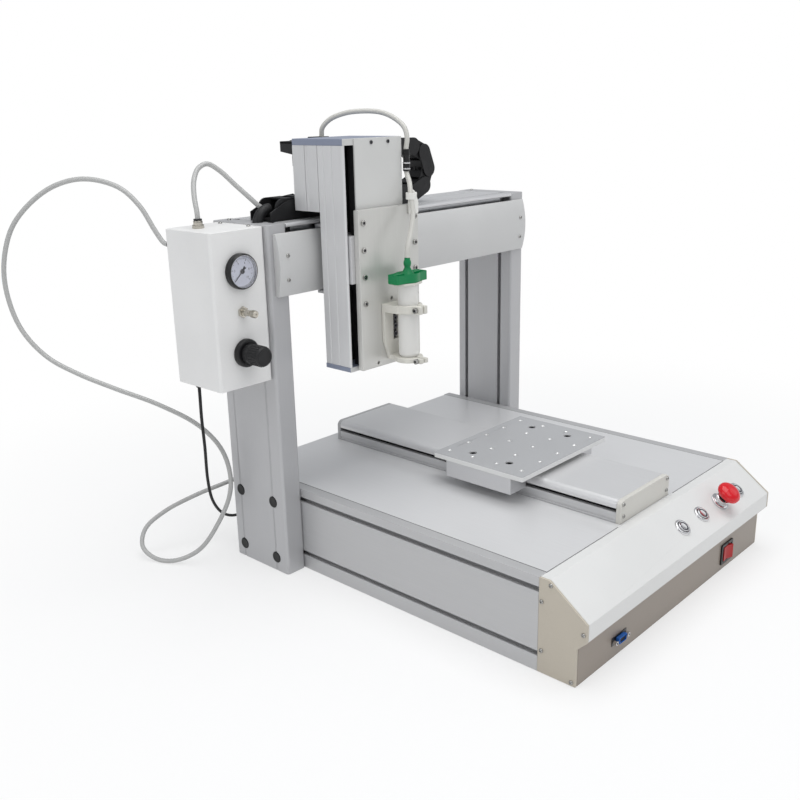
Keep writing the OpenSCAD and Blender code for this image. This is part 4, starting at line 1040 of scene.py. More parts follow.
def rounded_route(points: Sequence[Point], parts: int = 6) -> List[Vector]:
    """A smooth line through points.

    Args:
        points: What the line goes through, in millimetres.
        parts: Steps between two points.

    Returns:
        The line's points in metres.
    """
    spots = [metres(point) for point in points]
    ends = [2 * spots[0] - spots[1], *spots, 2 * spots[-1] - spots[-2]]
    line: List[Vector] = []
    for a, b, c, d in zip(ends, ends[1:], ends[2:], ends[3:]):
        before, within, after = (max((v - u).length, 1e-6) ** 0.5 for u, v in ((a, b), (b, c), (c, d)))
        leave = ((b - a) / before - (c - a) / (before + within) + (c - b) / within) * within
        arrive = ((c - b) / within - (d - b) / (within + after) + (d - c) / after) * within
        for step in range(parts):
            t = step / parts
            line.append(b * (2 * t**3 - 3 * t**2 + 1) + leave * (t**3 - 2 * t**2 + t)
                        + c * (3 * t**2 - 2 * t**3) + arrive * (t**3 - t**2))
    return [*line, spots[-1]]


@dataclass
class Cords:
    """The four free cords, on the routes of their CAD solids, in millimetres."""

    tube_r: float = 3.0
    cable_r: float = 2.0
    supply: Tuple[Point, ...] = (
        (-320, 255, 430), (-320, 267, 431), (-323, 279, 445), (-330, 296, 474), (-341, 321, 496),
        (-364, 360, 506), (-388, 393, 497), (-412, 419, 473), (-428, 435, 445), (-440, 441, 402),
        (-442, 437, 362), (-436, 424, 322), (-419, 402, 288), (-394, 377, 265), (-363, 345, 244),
        (-326, 307, 221), (-293, 270, 192), (-275, 250, 160), (-270, 241, 126), (-273, 241, 96),
        (-287, 251, 58), (-309, 268, 21), (-331, 293, 5), (-345, 320, 4), (-349, 344, 16),
        (-335, 356, 34), (-306, 351, 51), (-268, 333, 67), (-230, 315, 78), (-201, 306, 83),
        (-195, 301, 84), (-195, 289, 84))
    cable: Tuple[Point, ...] = (
        (-317, 225, 257), (-317, 225, 248), (-312, 233, 215), (-302, 246, 170), (-293, 259, 118),
        (-280, 271, 82), (-259, 283, 54), (-236, 293, 38), (-213, 299, 31), (-199, 297, 30),
        (-195, 292, 30), (-195, 286, 30))
    feed: Tuple[Point, ...] = (
        (-309, 210, 462), (-309, 210, 468), (-304, 220, 486), (-294, 232, 504), (-281, 239, 517),
        (-268, 239, 521), (-256, 233, 513), (-243, 220, 495), (-232, 207, 479), (-225, 201, 470),
        (-219, 200, 466.5))
    syringe: Tuple[Point, ...] = (
        (-130, 186, 547.7), (-130, 184, 558), (-124, 176, 568), (-113, 160, 575), (-100, 140, 577),
        (-91, 119, 575), (-88, 100, 568), (-88, 84, 557), (-89, 79, 545), (-90, 80, 533),
        (-90, 80, 519), (-90, 80, 505), (-95, 71, 493), (-102, 63, 478), (-106, 56, 458),
        (-116, 51, 438), (-126, 47.5, 420), (-128, 47, 408))

    def _curve(self, name: str, line: Sequence[Vector], radius: float) -> bpy.types.Object:
        """A round curve of one open spline.

        Args:
            name: Its name.
            line: The points it goes through, in metres.
            radius: Its radius.

        Returns:
            The curve's object.
        """
        data = bpy.data.curves.new(name, "CURVE")
        data.dimensions = "3D"
        data.bevel_depth = radius * MM
        data.bevel_resolution = 7
        data.use_fill_caps = True
        spline = data.splines.new("POLY")
        spline.points.add(len(line) - 1)
        for point, where in zip(spline.points, line):
            point.co = (*where, 1.0)
        spline.use_smooth = True
        obj = bpy.data.objects.new(name, data)
        bpy.context.scene.collection.objects.link(obj)
        return obj

    def _lay(self, node: str, points: Sequence[Point], radius: float, finish: Finish, bends: bool) -> None:
        """Makes and dresses one cord, and logs its length.

        Args:
            node: The CAD node it stands for.
            points: Its route.
            radius: Its radius.
            finish: The surface.
            bends: Whether it runs between the head and the tool; such a cord is made a mesh and left on no
                body.
        """
        line = rounded_route(points)
        length = sum((b - a).length for a, b in zip(line, line[1:]))
        obj = self._curve(node + "_dressed", line, radius)
        if bends:
            only(obj)
            bpy.ops.object.convert(target="MESH")
            obj = bpy.context.active_object
        obj.data.materials.append(finish.material())
        if bends:
            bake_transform(obj)
        else:
            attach(obj, BODY_OF[node])
        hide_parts(node)
        log.info("cord %s: %.3f m", node, length)

    def build(self) -> None:
        """All four cords."""
        self._lay("supply_tube", self.supply, self.tube_r, Finishes.tube, False)
        self._lay("box_cable", self.cable, self.cable_r, Finishes.jacket, False)
        self._lay("feed_tube", self.feed, self.tube_r, Finishes.tube, False)
        self._lay("syringe_tube", self.syringe, self.tube_r, Finishes.hose, True)


@dataclass
class Base:
    """Side profiles, deck, tray, console and cheeks."""

    half: float = 225
    axis_half: float = 66
    cheek_spots: Tuple[Pair, ...] = ((-233, 107), (-222, 85), (-223, 27), (-273.5, 65), (-261, 4.5))

    def build(self) -> None:
        """Dresses the base's solids and adds their screws."""
        soften("side_profiles", Finishes.side, 0.5)
        self.deck()
        soften("base_tray", Finishes.tray, 0.2, 1)
        soften("console_panel", Finishes.console, 1.2, 3)
        soften("console_cheeks", Finishes.cheek, 0.6)

    def deck(self) -> None:
        """The deck plate, and the dark seam along its front and side edges."""
        soften("deck_plate", Finishes.deck, 0.4)
        (x0, y0, _), (x1, y1, z1) = ([c / MM for c in corner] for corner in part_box("deck_plate"))
        half, top = 0.45, z1 + 0.06
        parts = [Work.slab("side_seam", (x - half, y0, z1 - 1), (x + half, y1, top)) for x in (x0, x1)]
        parts += [Work.slab("front_seam", (min(a, b), y0 - half, z1 - 1), (max(a, b), y0 + half, top))
                  for a, b in ((x0, -self.axis_half), (self.axis_half, x1))]
        seams = parts[0].add(*parts[1:]).bevel(0.1, 1)
        seams.obj.name = "deck_seams"
        seams.dress(Finishes.seam, "frame")

    def screw_places(self) -> List[Matrix]:
        """Where the cheeks' screws stand."""
        return [at((side * self.half, y, z), Vector((side, 0, 0)), 20 * i)
                for side in (-1, 1) for i, (y, z) in enumerate(self.cheek_spots)]


@dataclass
class Controls:
    """Push buttons, emergency stop, rocker switch and sockets."""

    slope: float = math.atan2(35.0, 47.0)
    spot: Pair = (-256.849, 92.751)
    buttons: Tuple[Tuple[str, float], ...] = (
        ("button_left", 18), ("button_middle", 68), ("button_right", 168))
    stop_x: float = 118
    port: Point = (-139, -266, 20.5)
    inlet: Point = (120, 278, 40)

    def out(self) -> Vector:
        """Direction out of the sloping panel."""
        return Vector((0.0, -math.sin(self.slope), math.cos(self.slope)))

    def place(self, x: float) -> Matrix:
        """The panel's frame at x, with +Z out of it."""
        return at((x, *self.spot), self.out())

    def build(self) -> None:
        """All controls."""
        ring = Work.turned("button_bezels", [
            (7.35, 0.0), (11, 0.0), (11, 0.9), (10.3, 2.0), (9.4, 2.5),
            (8.0, 2.4), (7.35, 1.7), (7.35, 0.0)], steps=56).smooth(50)
        rings = ring.repeated("button_bezels", [self.place(x) for _, x in self.buttons])
        collar = Work.turned("stop_collar", [
            (5.35, 0.0), (12, 0.0), (12, 2.4), (11.2, 3.0), (9.0, 3.2),
            (9.0, 8.4), (8.4, 9.0), (5.35, 9.0), (5.35, 0.0)],
            steps=56).smooth(40).move(self.place(self.stop_x))
        rings.add(collar).dress(Finishes.plated, replaces=("panel_bezels",))
        for name, x in self.buttons:
            Work.turned(name + "_dressed", [
                (0.0, 3.1), (4.0, 3.25), (5.8, 3.65), (6.5, 3.9),
                (6.9, 3.6), (7.0, 3.1), (7.0, -6.0), (0.0, -6.0)],
                steps=56).smooth(50).move(self.place(x)).dress(
                    Finishes.plated, replaces=(name,))
            Work.turned(name + "_ring", [
                (4.5, 3.1), (5.7, 3.4), (5.75, 3.72), (5.1, 3.62), (4.5, 3.44),
                (4.5, 3.1)], steps=56).smooth(50).move(self.place(x)).dress(
                    Finishes.ink_and_shade, name)
        soften("estop_stem", Finishes.gloss_black, 0.3)
        head = [(5.4, 15.0), (12.0, 15.0), (13.9, 15.6), (14.8, 17.0),
                (15.0, 19.0)]
        head += [(15.0 * math.cos(math.radians(t)) ** 0.9, 20.0 + 8.0 * math.sin(math.radians(t)))
                 for t in range(0, 86, 8)]
        head += [(0.0, 28.0), (0.0, 25.5), (5.4, 25.5), (5.4, 15.0)]
        Work.turned("estop_head_dressed", head, steps=64).smooth(50).move(
            self.place(self.stop_x)).dress(Finishes.red, replaces=("estop_head",))
        soften("rocker_bezel", Finishes.gloss_black, 0.5)
        soften("rocker", Finishes.dark_red, 0.7, 3)
        self.serial_port()
        self.mains_inlet()

    def serial_port(self) -> None:
        """Plate, blue shell, black insert with pin holes, and two jack nuts."""
        x, face, z = self.port
        plate = Work.slab("port_plate", (x - 15.4, face - 0.8, z - 5.2),
                          (x + 15.4, face, z + 5.2)).bevel(0.35)
        outline = [(-8.5, 4), (8.5, 4), (7.2, -4), (-7.2, -4)]
        shell = Work.prism("port_shell", [(x + a, face - 1.0, z + b) for a, b in outline],
                           (0, -5.0, 0)).bevel(1.0)
        core = Work.prism("port_core", [(x + a * 0.86, face - 7.0, z + b * 0.80) for a, b in outline],
                          (0, 5.0, 0))
        shell.cut(core)
        nut = Work.rod("jack_nut", (0, 0, 0), Axis.Z, 4.8, 2.7, 6).bevel(0.3).cut(
            Work.rod("jack_bore", (0, 0, 2.0), Axis.Z, 5, 1.4, 20))
        places = [at((x + off, face - 1.2, z), Axis.FRONT, 15) for off in (-12.5, 12.5)]
        nuts = nut.repeated("jack_nuts", places)
        # The plate is blackened: painted shade on its metal
        plate.smooth(35).dress(Finishes.dark_screw_and_shade, "frame", ("panel_sockets",))
        nuts.smooth(35).dress(Finishes.plated, "frame")
        shell.smooth(40).dress(Finishes.blue, "frame")
        insert = Work.prism("port_insert", [(x + a * 0.85, face - 1.3, z + b * 0.79) for a, b in outline],
                            (0, -3.2, 0)).bevel(0.4)
        holes = [(-5.6 + 2.8 * i, 1.5) for i in range(5)] + [(-4.2 + 2.8 * i, -1.4) for i in range(4)]
        drill = Work.rod("pin_hole", (0, 0, 0), Axis.Z, 2.0, 0.6, 12)
        insert.cut(drill.repeated("pin_holes", [at((x + a, face - 3.5, z + b), Axis.FRONT)
                                                for a, b in holes]))
        insert.smooth(35).dress(Finishes.ink_and_shade, "frame")

    def mains_inlet(self) -> None:
        """Flange with a well, and three blades in it."""
        x, rear, z = self.inlet
        flange = Work.slab("inlet_flange", (x - 24, rear, z - 13.5), (x + 24, rear + 3, z + 13.5))
        flange.add(Work.slab("inlet_body", (x - 14.6, rear - 22, z - 11.1), (x + 14.6, rear + 0.5, z + 11.1)))
        flange.cut(Work.slab("inlet_well", (x - 12, rear - 14, z - 8.5), (x + 12, rear + 9, z + 8.5)))
        blade = Work.slab("inlet_blade", (-1, -14.5, -2), (1, 0.0, 2)).bevel(0.4)
        pins = blade.repeated("inlet_pins", [shift(x + a, rear, z + b)
                                             for a, b in ((-7, -2.5), (0, 2.5), (7, -2.5))])
        flange.bevel(0.8).smooth(40).dress(Finishes.black, "frame")
        pins.smooth(40).dress(Finishes.plated, "frame")


@dataclass
class Gantry:
    """Columns, plugs, beam, curved cover and cross drive."""

    column_x: float = 255
    slot_ys: Pair = (174, 240)
    plug_zs: Pair = (19, 97.5)
    top_spot: Point = (240, 242, 452)

    def build(self) -> None:
        """Dresses the gantry and sets the plugs."""
        soften("left_column", Finishes.column, 0.6)
        soften("right_column", Finishes.column, 0.6)
        soften("beam_profile", Finishes.beam, 0.5)
        soften("beam_cover", Finishes.beam_cover, 0.3, 1)
        plug = Work.turned("column_plugs", [
            (0, -8), (7.45, -8), (7.45, 0.1), (7.1, 0.5), (6.2, 0.65),
            (6.0, 0.5), (0, 0.55)],
            steps=40).smooth(40)
        places = [at((side * self.column_x, y, z), Vector((side, 0, 0)))
                  for side in (-1, 1) for y in self.slot_ys for z in self.plug_zs]
        plug.repeated("column_plugs_dressed", places).dress(Finishes.black, replaces=("column_plugs",))
        soften("linear_rails", Finishes.steel, 0.5)
        soften("stepper_motors", Finishes.motor, 0.5)
        soften("x_bearing_blocks", Finishes.motor, 0.6)
        paint("x_screw", Finishes.steel)
        soften("chain_tray", Finishes.black, 0.4)
        paint("cable_conduit", Finishes.chain)

    def top_places(self) -> List[Matrix]:
        """Where the screws on the columns' tops stand."""
        x, y, z = self.top_spot
        return [at((side * x, y, z), Axis.Z, 40) for side in (-1, 1)]

    def screw_places(self) -> List[Matrix]:
        """Works out where the beam cover's screws stand.

        Returns:
            Their places, square to the curved face.
        """
        radius, middle, front, edge = 120.1875, 404.0, 141.0, 234.0
        places: List[Matrix] = []
        for side in (-1, 1):
            for z in (386.5, 415.5):
                tilt = math.asin((z - middle) / radius)
                y = front + radius - math.sqrt(radius**2 - (z - middle) ** 2)
                places.append(at((side * edge, y, z), Vector((0, -math.cos(tilt), math.sin(tilt)))))
        return places


@dataclass
class Chain:
    """Drag chain: lapping links in a lower run, a bend and an upper run.

    Each link of the bend is turned on from the one before by step degrees.
    """

    pitch: float = 24.0
    height: float = 23.0
    half_width: float = 17.0
    plate: float = 2.5
    lap: float = 0.3
    y: float = 194.0
    low_z: float = 466.5
    bend_x: float = 33.0
    lower: int = 10
    bends: int = 4
    upper: int = 6
    step: float = 45.0
    bar: float = 2.5
    bar_half: float = 5.0
    bundle_r: float = 7.5

    def radius(self) -> float:
        """Radius of the pins' circle in the bend."""
        return self.pitch / (2 * math.sin(math.radians(self.step / 2)))

    def link(self, wide: bool) -> Work:
        """One link: side plates, pin bosses and cross bars.

        Args:
            wide: Whether it is one of the outer links, which show their bosses.

        Returns:
            The link, along +X from its first pin.
        """
        out = self.half_width - (0.0 if wide else self.plate + self.lap)
        r = self.height / 2
        arc = [(math.cos(math.radians(t)) * r, math.sin(math.radians(t)) * r) for t in range(90, 271, 9)]
        outline = arc + [(self.pitch - a, -b) for a, b in arc]
        parts: List[Work] = []
        for side in (-1, 1):
            y = side * out
            plate = Work.prism("side_plate", [(a, y, b) for a, b in outline], (0, -side * self.plate, 0))
            parts.append(plate.bevel(0.5, 2))
            for x in (0.0, self.pitch) if wide else ():
                parts.append(Work.turned("boss", [(0, -0.2), (3.0, -0.2), (3.0, 0.0), (2.6, 0.12),
                                                  (0, 0.12)], (x, y, 0), Vector((0, side, 0)), 24))
        middle, end = self.pitch / 2, out - 0.1
        for z in (-r, r - self.bar):
            bar = Work.slab("cross_bar", (middle - self.bar_half, -end, z),
                            (middle + self.bar_half, end, z + self.bar))
            parts.append(bar.bevel(0.5, 2))
        return parts[0].add(*parts[1:]).smooth(45)

    def build(self) -> None:
        """Sets out the links and dresses them in stretches."""
        wide, slim = self.link(True), self.link(False)
        high_z = self.low_z + 2 * self.radius()
        low = [shift(self.bend_x - (self.lower - i) * self.pitch, self.y, self.low_z)
               for i in range(self.lower)]
        hub = shift(self.bend_x, self.y, self.low_z + self.radius())
        pin = shift(self.radius(), 0, 0) @ Matrix.Rotation(math.radians(-90 - self.step / 2), 4, "Y")
        bend = [hub @ Matrix.Rotation(math.radians(90 - i * self.step), 4, "Y") @ pin
                for i in range(self.bends)]
        high = [shift(self.bend_x - (i + 1) * self.pitch, self.y, high_z) for i in range(self.upper)]
        order = low + bend + high
        runs: Dict[str, List[Work]] = {"chain_lower": [], "chain_bend": []}
        for number, place in enumerate(order):
            link = (slim if number % 2 else wide).twin("chain_link_%02d" % number).move(place)
            if number < self.lower:
                runs["chain_lower"].append(link)
            elif number < self.lower + self.bends:
                runs["chain_bend"].append(link)
            else:
                share = 0.5 + 0.5 * (number - self.lower - self.bends + 1) / self.upper
                self.roll(link, share)
        runs["chain_bend"].append(self.cables())
        for proto in (wide, slim):
            bpy.data.objects.remove(proto.obj)
        for name, links in runs.items():
            run = links[0].add(*links[1:])
            run.obj.name = name
            self.roll(run, 0.5 if name == "chain_bend" else None)

    def cables(self) -> Work:
        """The cables that fill the bend.

        Returns:
            The bundle.
        """
        bpy.ops.object.select_all(action="DESELECT")
        bpy.ops.mesh.primitive_torus_add(
            major_radius=self.radius() * MM, minor_radius=self.bundle_r * MM,
            major_segments=64, minor_segments=16,
            location=metres((self.bend_x, self.y, self.low_z + self.radius())),
            rotation=(math.pi / 2, 0, 0))
        bundle = Work._new("chain_cables")
        room, end = 20, 12
        far = 2 * self.radius() + room
        bundle.cut(Work.slab("cable_cut", (self.bend_x - far, self.y - room, self.low_z - room),
                             (self.bend_x - end, self.y + room, self.low_z + far + room)))
        return bundle.smooth(50)

    def roll(self, work: Work, share: Optional[float]) -> None:
        """Dresses a stretch of chain; where it would start and end to follow the head by a share of its way
        is worked out but not used.

        Args:
            work: The links.
            share: The share for the whole stretch, or None for the lower run.
        """
        work.coat(Finishes.chain)
        if share is None:
            fixed = self.bend_x - self.lower * self.pitch
            start, end = (tuple(metres((x, self.y, self.low_z))) for x in (fixed, 2 * self.bend_x - fixed))
        else:
            low, high, halvings, span = 0.0, 1.0, 40, 100.0
            for _ in range(halvings):
                middle = (low + high) / 2
                low, high = (middle, high) if middle * middle * (3 - 2 * middle) < share else (low, middle)
            start, end = (0.0, 0.0, -span * low), (0.0, 0.0, span * (1 - low) + 1e-3)
        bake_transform(work.obj)
        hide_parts("drag_chain")
        log.info("piece %s: %s", work.obj.name, Finishes.chain.name)


@dataclass
class TableAxis:
    """Table axis and its plate."""

    middle_y: float = -33
    thread_pitch: Pair = (39, 38)
    top_z: float = 153
    bolts: Pair = (65.5, 28.75)
    bolt_z: float = 149
    plate_screws: Tuple[Pair, ...] = ((-52.5, 135), (-51.5, 120), (52.5, 135), (51.5, 120))

    def build(self) -> None:
        """Dresses the axis, the carriage and the plate."""
        soften("y_module_base", Finishes.module, 0.4)
        soften("y_module_cover", Finishes.axis_cover, 0.3)
        soften("y_end_plates", Finishes.end_plate, 0.6)
        paint("y_screw", Finishes.steel)
        soften("y_carriage", Finishes.machined, 0.6)
        soften("table_plate", Finishes.table, 0.6)
        thread = Work.turned("thread_rim", [
            (1.5, -3), (2.1, -3), (2.1, -0.1), (2.9, 0.0), (2.9, 0.15), (2.5, 0.18),
            (1.5, -0.9), (1.5, -3)], steps=24).smooth(40)
        across, along = self.thread_pitch
        places = [shift(i * across, self.middle_y + (j - 1.5) * along, self.top_z)
                  for i in range(-2, 3) for j in range(4)]
        thread.repeated("table_threads", places).dress(Finishes.bright, "table")
        bolt = Screw(8.5, 3.2, Recess.HEXAGON).build()
        across, along = self.bolts
        places = [shift(x, self.middle_y + y, self.bolt_z)
                  for x in (-across, across) for y in (-along, along)]
        bolt.repeated("table_bolts", places).dress(Finishes.dark_screw_and_shade, "table")

    def screw_places(self) -> List[Matrix]:
        """Where the end plate's screws stand."""
        return [at((x, -216, z), Axis.FRONT, 30 * i) for i, (x, z) in enumerate(self.plate_screws)]


@dataclass
class Head:
    """Cross carriage, vertical axis, tool plate and syringe."""

    plate_x: float = -130.0
    plate_y: float = 73.0
    screw_half: float = 45.0
    screw_top: float = 452.0
    screw_pitch: float = 32.0
    syringe: Pair = (-128.0, 47.0)
    cover_end: float = -95.0
    plate_end: float = -182.5
    coupling: Point = (-90.0, 80.0, 519.0)
    clip: Point = (-102.0, 63.0, 478.0)

    def build(self) -> None:
        """Dresses the head and adds its fasteners."""
        soften("x_carriage", Finishes.machined, 0.5)
        self.trimmed("z_profile").bevel(0.4).smooth().dress(Finishes.upright_head, replaces=("z_profile",))
        soften("z_front_cover", Finishes.head_cover, 0.5)
        self.trimmed("z_end_caps").bevel(0.6).smooth().dress(Finishes.cap, replaces=("z_end_caps",))
        groove = Work.slab("die_groove", (-194, 150, 462), (-190, 151, 541))
        self.trimmed("z_motor_housing").cut(groove).bevel(0.4).smooth().dress(
            Finishes.housing, replaces=("z_motor_housing",))
        bracket = Work.copy_of("chain_bracket", "chain_bracket_dressed")
        bracket.cut(Work.slab("bracket_corner", (-210, 196.5, 500), (-160, 220, 560)))
        side = [(172.5, 543.5), (172.5, 528.5), (196.3, 532.0), (196.3, 543.5)]
        flange = Work.prism("bracket_flange", [(-190, y, z) for y, z in side], (3, 0, 0))
        bracket.add(flange).bevel(0.5).smooth().dress(Finishes.motor, replaces=("chain_bracket",))
        paint("z_screw", Finishes.steel)
        soften("z_slider", Finishes.machined, 0.5)
        plate = Work.copy_of("z_plate", "z_plate_dressed")
        plate.cut(Work.slab("plate_edge", (-210, 60, 260), (self.plate_end, 90, 480)))
        plate.bevel(0.7).smooth().dress(Finishes.tool_plate, replaces=("z_plate",))
        self.fasteners()
        self.dispenser()

    def trimmed(self, node: str) -> Work:
        """A copy of a head node that ends at the cover's right edge, as the photo shows it.

        Args:
            node: The CAD node.

        Returns:
            The copy.
        """
        return Work.copy_of(node, node + "_dressed").cut(
            Work.slab("right_side", (self.cover_end, 50, 250), (-60, 190, 560)))

    def fasteners(self) -> None:
        """Plate screws, clamp screws and cover screws, with dark pieces in their sockets as painted shade."""
        large, clamp, small = (Screw(d, h, Recess.HEXAGON) for d, h in ((7.0, 2.0), (6.5, 4.0), (4.4, 1.2)))
        x, y = self.syringe
        rows = [self.screw_top - self.screw_pitch * i for i in range(4)]
        spots = [at((self.plate_x + side * self.screw_half, self.plate_y, z), Axis.FRONT, 17 * i)
                 for side in (-1, 1) for i, z in enumerate(rows)]
        ears = [at((x - 7, y - 19.6, z), Axis.LEFT) for z in (284, 347)]
        heads = large.build().repeated("tool_plate_screws", spots)
        heads.add(clamp.build().repeated("clamp_screws", ears))
        heads.dress(Finishes.screw, replaces=("head_screws",))
        # Dark pieces at the bottom of the hexagon sockets: painted shade
        holes = large.socket().repeated("screw_sockets", spots)
        holes.add(clamp.socket().repeated("clamp_sockets", ears)).dress(Finishes.ink_and_shade, "tool")
        small.build().repeated("head_cover_screws", [
            at((x, 83, 542.3), Axis.FRONT) for x in (-147.5, -119)]).dress(Finishes.dark_screw_and_shade, "cross_head")
        # A dark strip fills the bracket's slot: painted shade in the slot
        slot = Work.slab("bracket_slot_strip", (x - 3.7, 71.6, 306.5), (x + 3.7, 72.9, 337.5))
        grip = Screw(7.0, 3.2, Recess.HEXAGON).build().repeated("bracket_screws", [
            at((x, 71.7, z), Axis.FRONT, 11 * i) for i, z in enumerate((312, 322, 332))])
        slot.bevel(0.4).add(grip).smooth(40).dress(Finishes.dark_screw_and_shade, "tool")

    def dispenser(self) -> None:
        """Bracket, barrel, piston, cap, coupling and clip."""
        x, y = self.syringe
        soften("syringe_bracket", Finishes.nylon, 1.0, 3)
        r = 12.5
        z0, z1 = 287, 379
        Work.turned("syringe_barrel_dressed", [
            (1.0, z0 - 9), (2.5, z0 - 9), (3.2, z0 - 3), (5.7, z0), (r - 2, z0 + 0.2),
            (r - 0.6, z0 + 2), (r, z0 + 4.5), (r, z1), (r - 1.4, z1), (r - 1.4, z0 + 5),
            (r - 3, z0 + 2), (1.0, z0 + 1), (1.0, z0 - 9)],
            (x, y, 0), Axis.Z, 64).smooth(45).dress(Finishes.barrel, replaces=("syringe_barrel",))
        Work.turned("syringe_piston", [
            (0, z0 + 8), (6, z0 + 6), (10.7, z0 + 9), (10.9, z0 + 12),
            (10.3, z0 + 14), (10.3, z0 + 24), (10.9, z0 + 26), (10.7, z0 + 30),
            (0, z0 + 30)], (x, y, 0), Axis.Z, 48).smooth(45).dress(Finishes.nylon, "tool")
        rim = [(x + 21 * math.cos(math.radians(t)), y + 14.4 * math.sin(math.radians(t)), z1 - 2.6)
               for t in range(0, 360, 10)]
        flange = Work.prism("barrel_flange", rim, (0, 0, 2.6)).cut(
            Work.rod("flange_bore", (x, y, z1 - 5), Axis.Z, 9, r + 0.05, 64))
        flange.bevel(0.6).smooth(40).dress(Finishes.nylon, "tool")
        self.cap(x, y, z1)
        self.hose_parts()

    def cap(self, x: float, y: float, z: float) -> None:
        """Green twist cap: two wings with a raised rim and a ball stem.

        Args:
            x: The syringe's axis.
            y: The same.
            z: The cap's underside.
        """
        half = [(-27, 6.0), (-25.4, 8.8), (-13.5, 9.6), (-9, 11.2), (-5, 13.2), (0, 14.0)]
        edge = half + [(-a, b) for a, b in reversed(half[:-1])]
        wing = edge + [(a, -b) for a, b in reversed(edge)]
        body = Work.prism("syringe_cap_dressed", [(x + a, y + b, z) for a, b in wing], (0, 0, 11.6))
        top = z + 11.6
        body.inset(lambda middle, normal: normal.z > 0.9 and abs(middle.z - top * MM) < 1e-5, 1.9, -3.2)
        body.bevel(0.9, 3).smooth(50)
        stem = Work.turned("cap_stem", [
            (0, 7), (9.0, 7), (8.4, 9.5), (6.4, 12), (4.8, 15), (3.5, 18),
            (4.4, 20), (4.8, 22.5), (4.4, 25), (3.6, 26.6), (3.4, 29), (0, 29)],
            (x, y, z), Axis.Z, 40).smooth(60)
        rib = Work.slab("cap_rib", (x - 24.5, y - 1.3, z + 7), (x + 24.5, y + 1.3, z + 11.2))
        body.add(rib.bevel(0.8, 3).smooth(50), stem).dress(Finishes.green, replaces=("syringe_cap",))

    def hose_parts(self) -> None:
        """In-line coupling with its bands, and the clip on the tool plate."""
        middle = Vector(self.coupling)
        way = Axis.Z.vector()
        coupling = Work.turned("hose_coupling", [
            (3.2, -13), (4.0, -13), (4.4, -12.2), (4.4, -4), (4.0, -3.4),
            (4.0, 4.2), (4.5, 4.8), (4.5, 8.0), (4.0, 8.6), (3.9, 12),
            (3.6, 13), (3.2, 13), (3.2, -13)], middle, way, 36).smooth(45)
        coupling.dress(Finishes.gloss_black, "tool", ("hose_fittings",))
        band = Work.turned("hose_bands", [
            (4.0, -0.9), (4.55, -0.8), (4.75, 0.0), (4.55, 0.8), (4.0, 0.9),
            (4.0, -0.9)], steps=36).smooth(45)
        bands = band.repeated("hose_bands", [at(middle + way * up, way) for up in (-3.2, -10)])
        bands.dress(Finishes.plated, "tool")
        x, y, z = self.clip
        ring = Work.turned("hose_clip", [(4.5, -4), (5.8, -4), (6.0, -3.4), (6.0, 3.4),
                                         (5.8, 4), (4.5, 4), (4.5, -4)],
                           (x, y, z), Axis.Z, 40).smooth(45)
        tail = Work.slab("clip_tail", (x + 4.6, y - 1.5, z - 4), (x + 10, y + 9, z + 4))
        shape = [(5, -23), (22, -23), (22.5, -10), (19, -1), (15.5, 5), (12.5, 6.5), (9.5, 5), (6.5, -1),
                 (5, -10)]
        tab = Work.prism("clip_tab", [(x + a, y + 9.9, z + b) for a, b in shape], (0, -2.6, 0))
        tab.cut(Work.rod("clip_hole", (x + 13.1, y + 12, z - 5), Axis.FRONT, 7, 1.9, 24))
        ring.add(tail.bevel(0.8), tab.bevel(0.7)).smooth(45).dress(Finishes.clip, "tool")
        screw = Screw(5.0, 1.8, Recess.CROSS).build()
        screw.move(at((x + 10.5, y + 7.5, z - 16), Axis.FRONT)).dress(Finishes.screw, "tool")


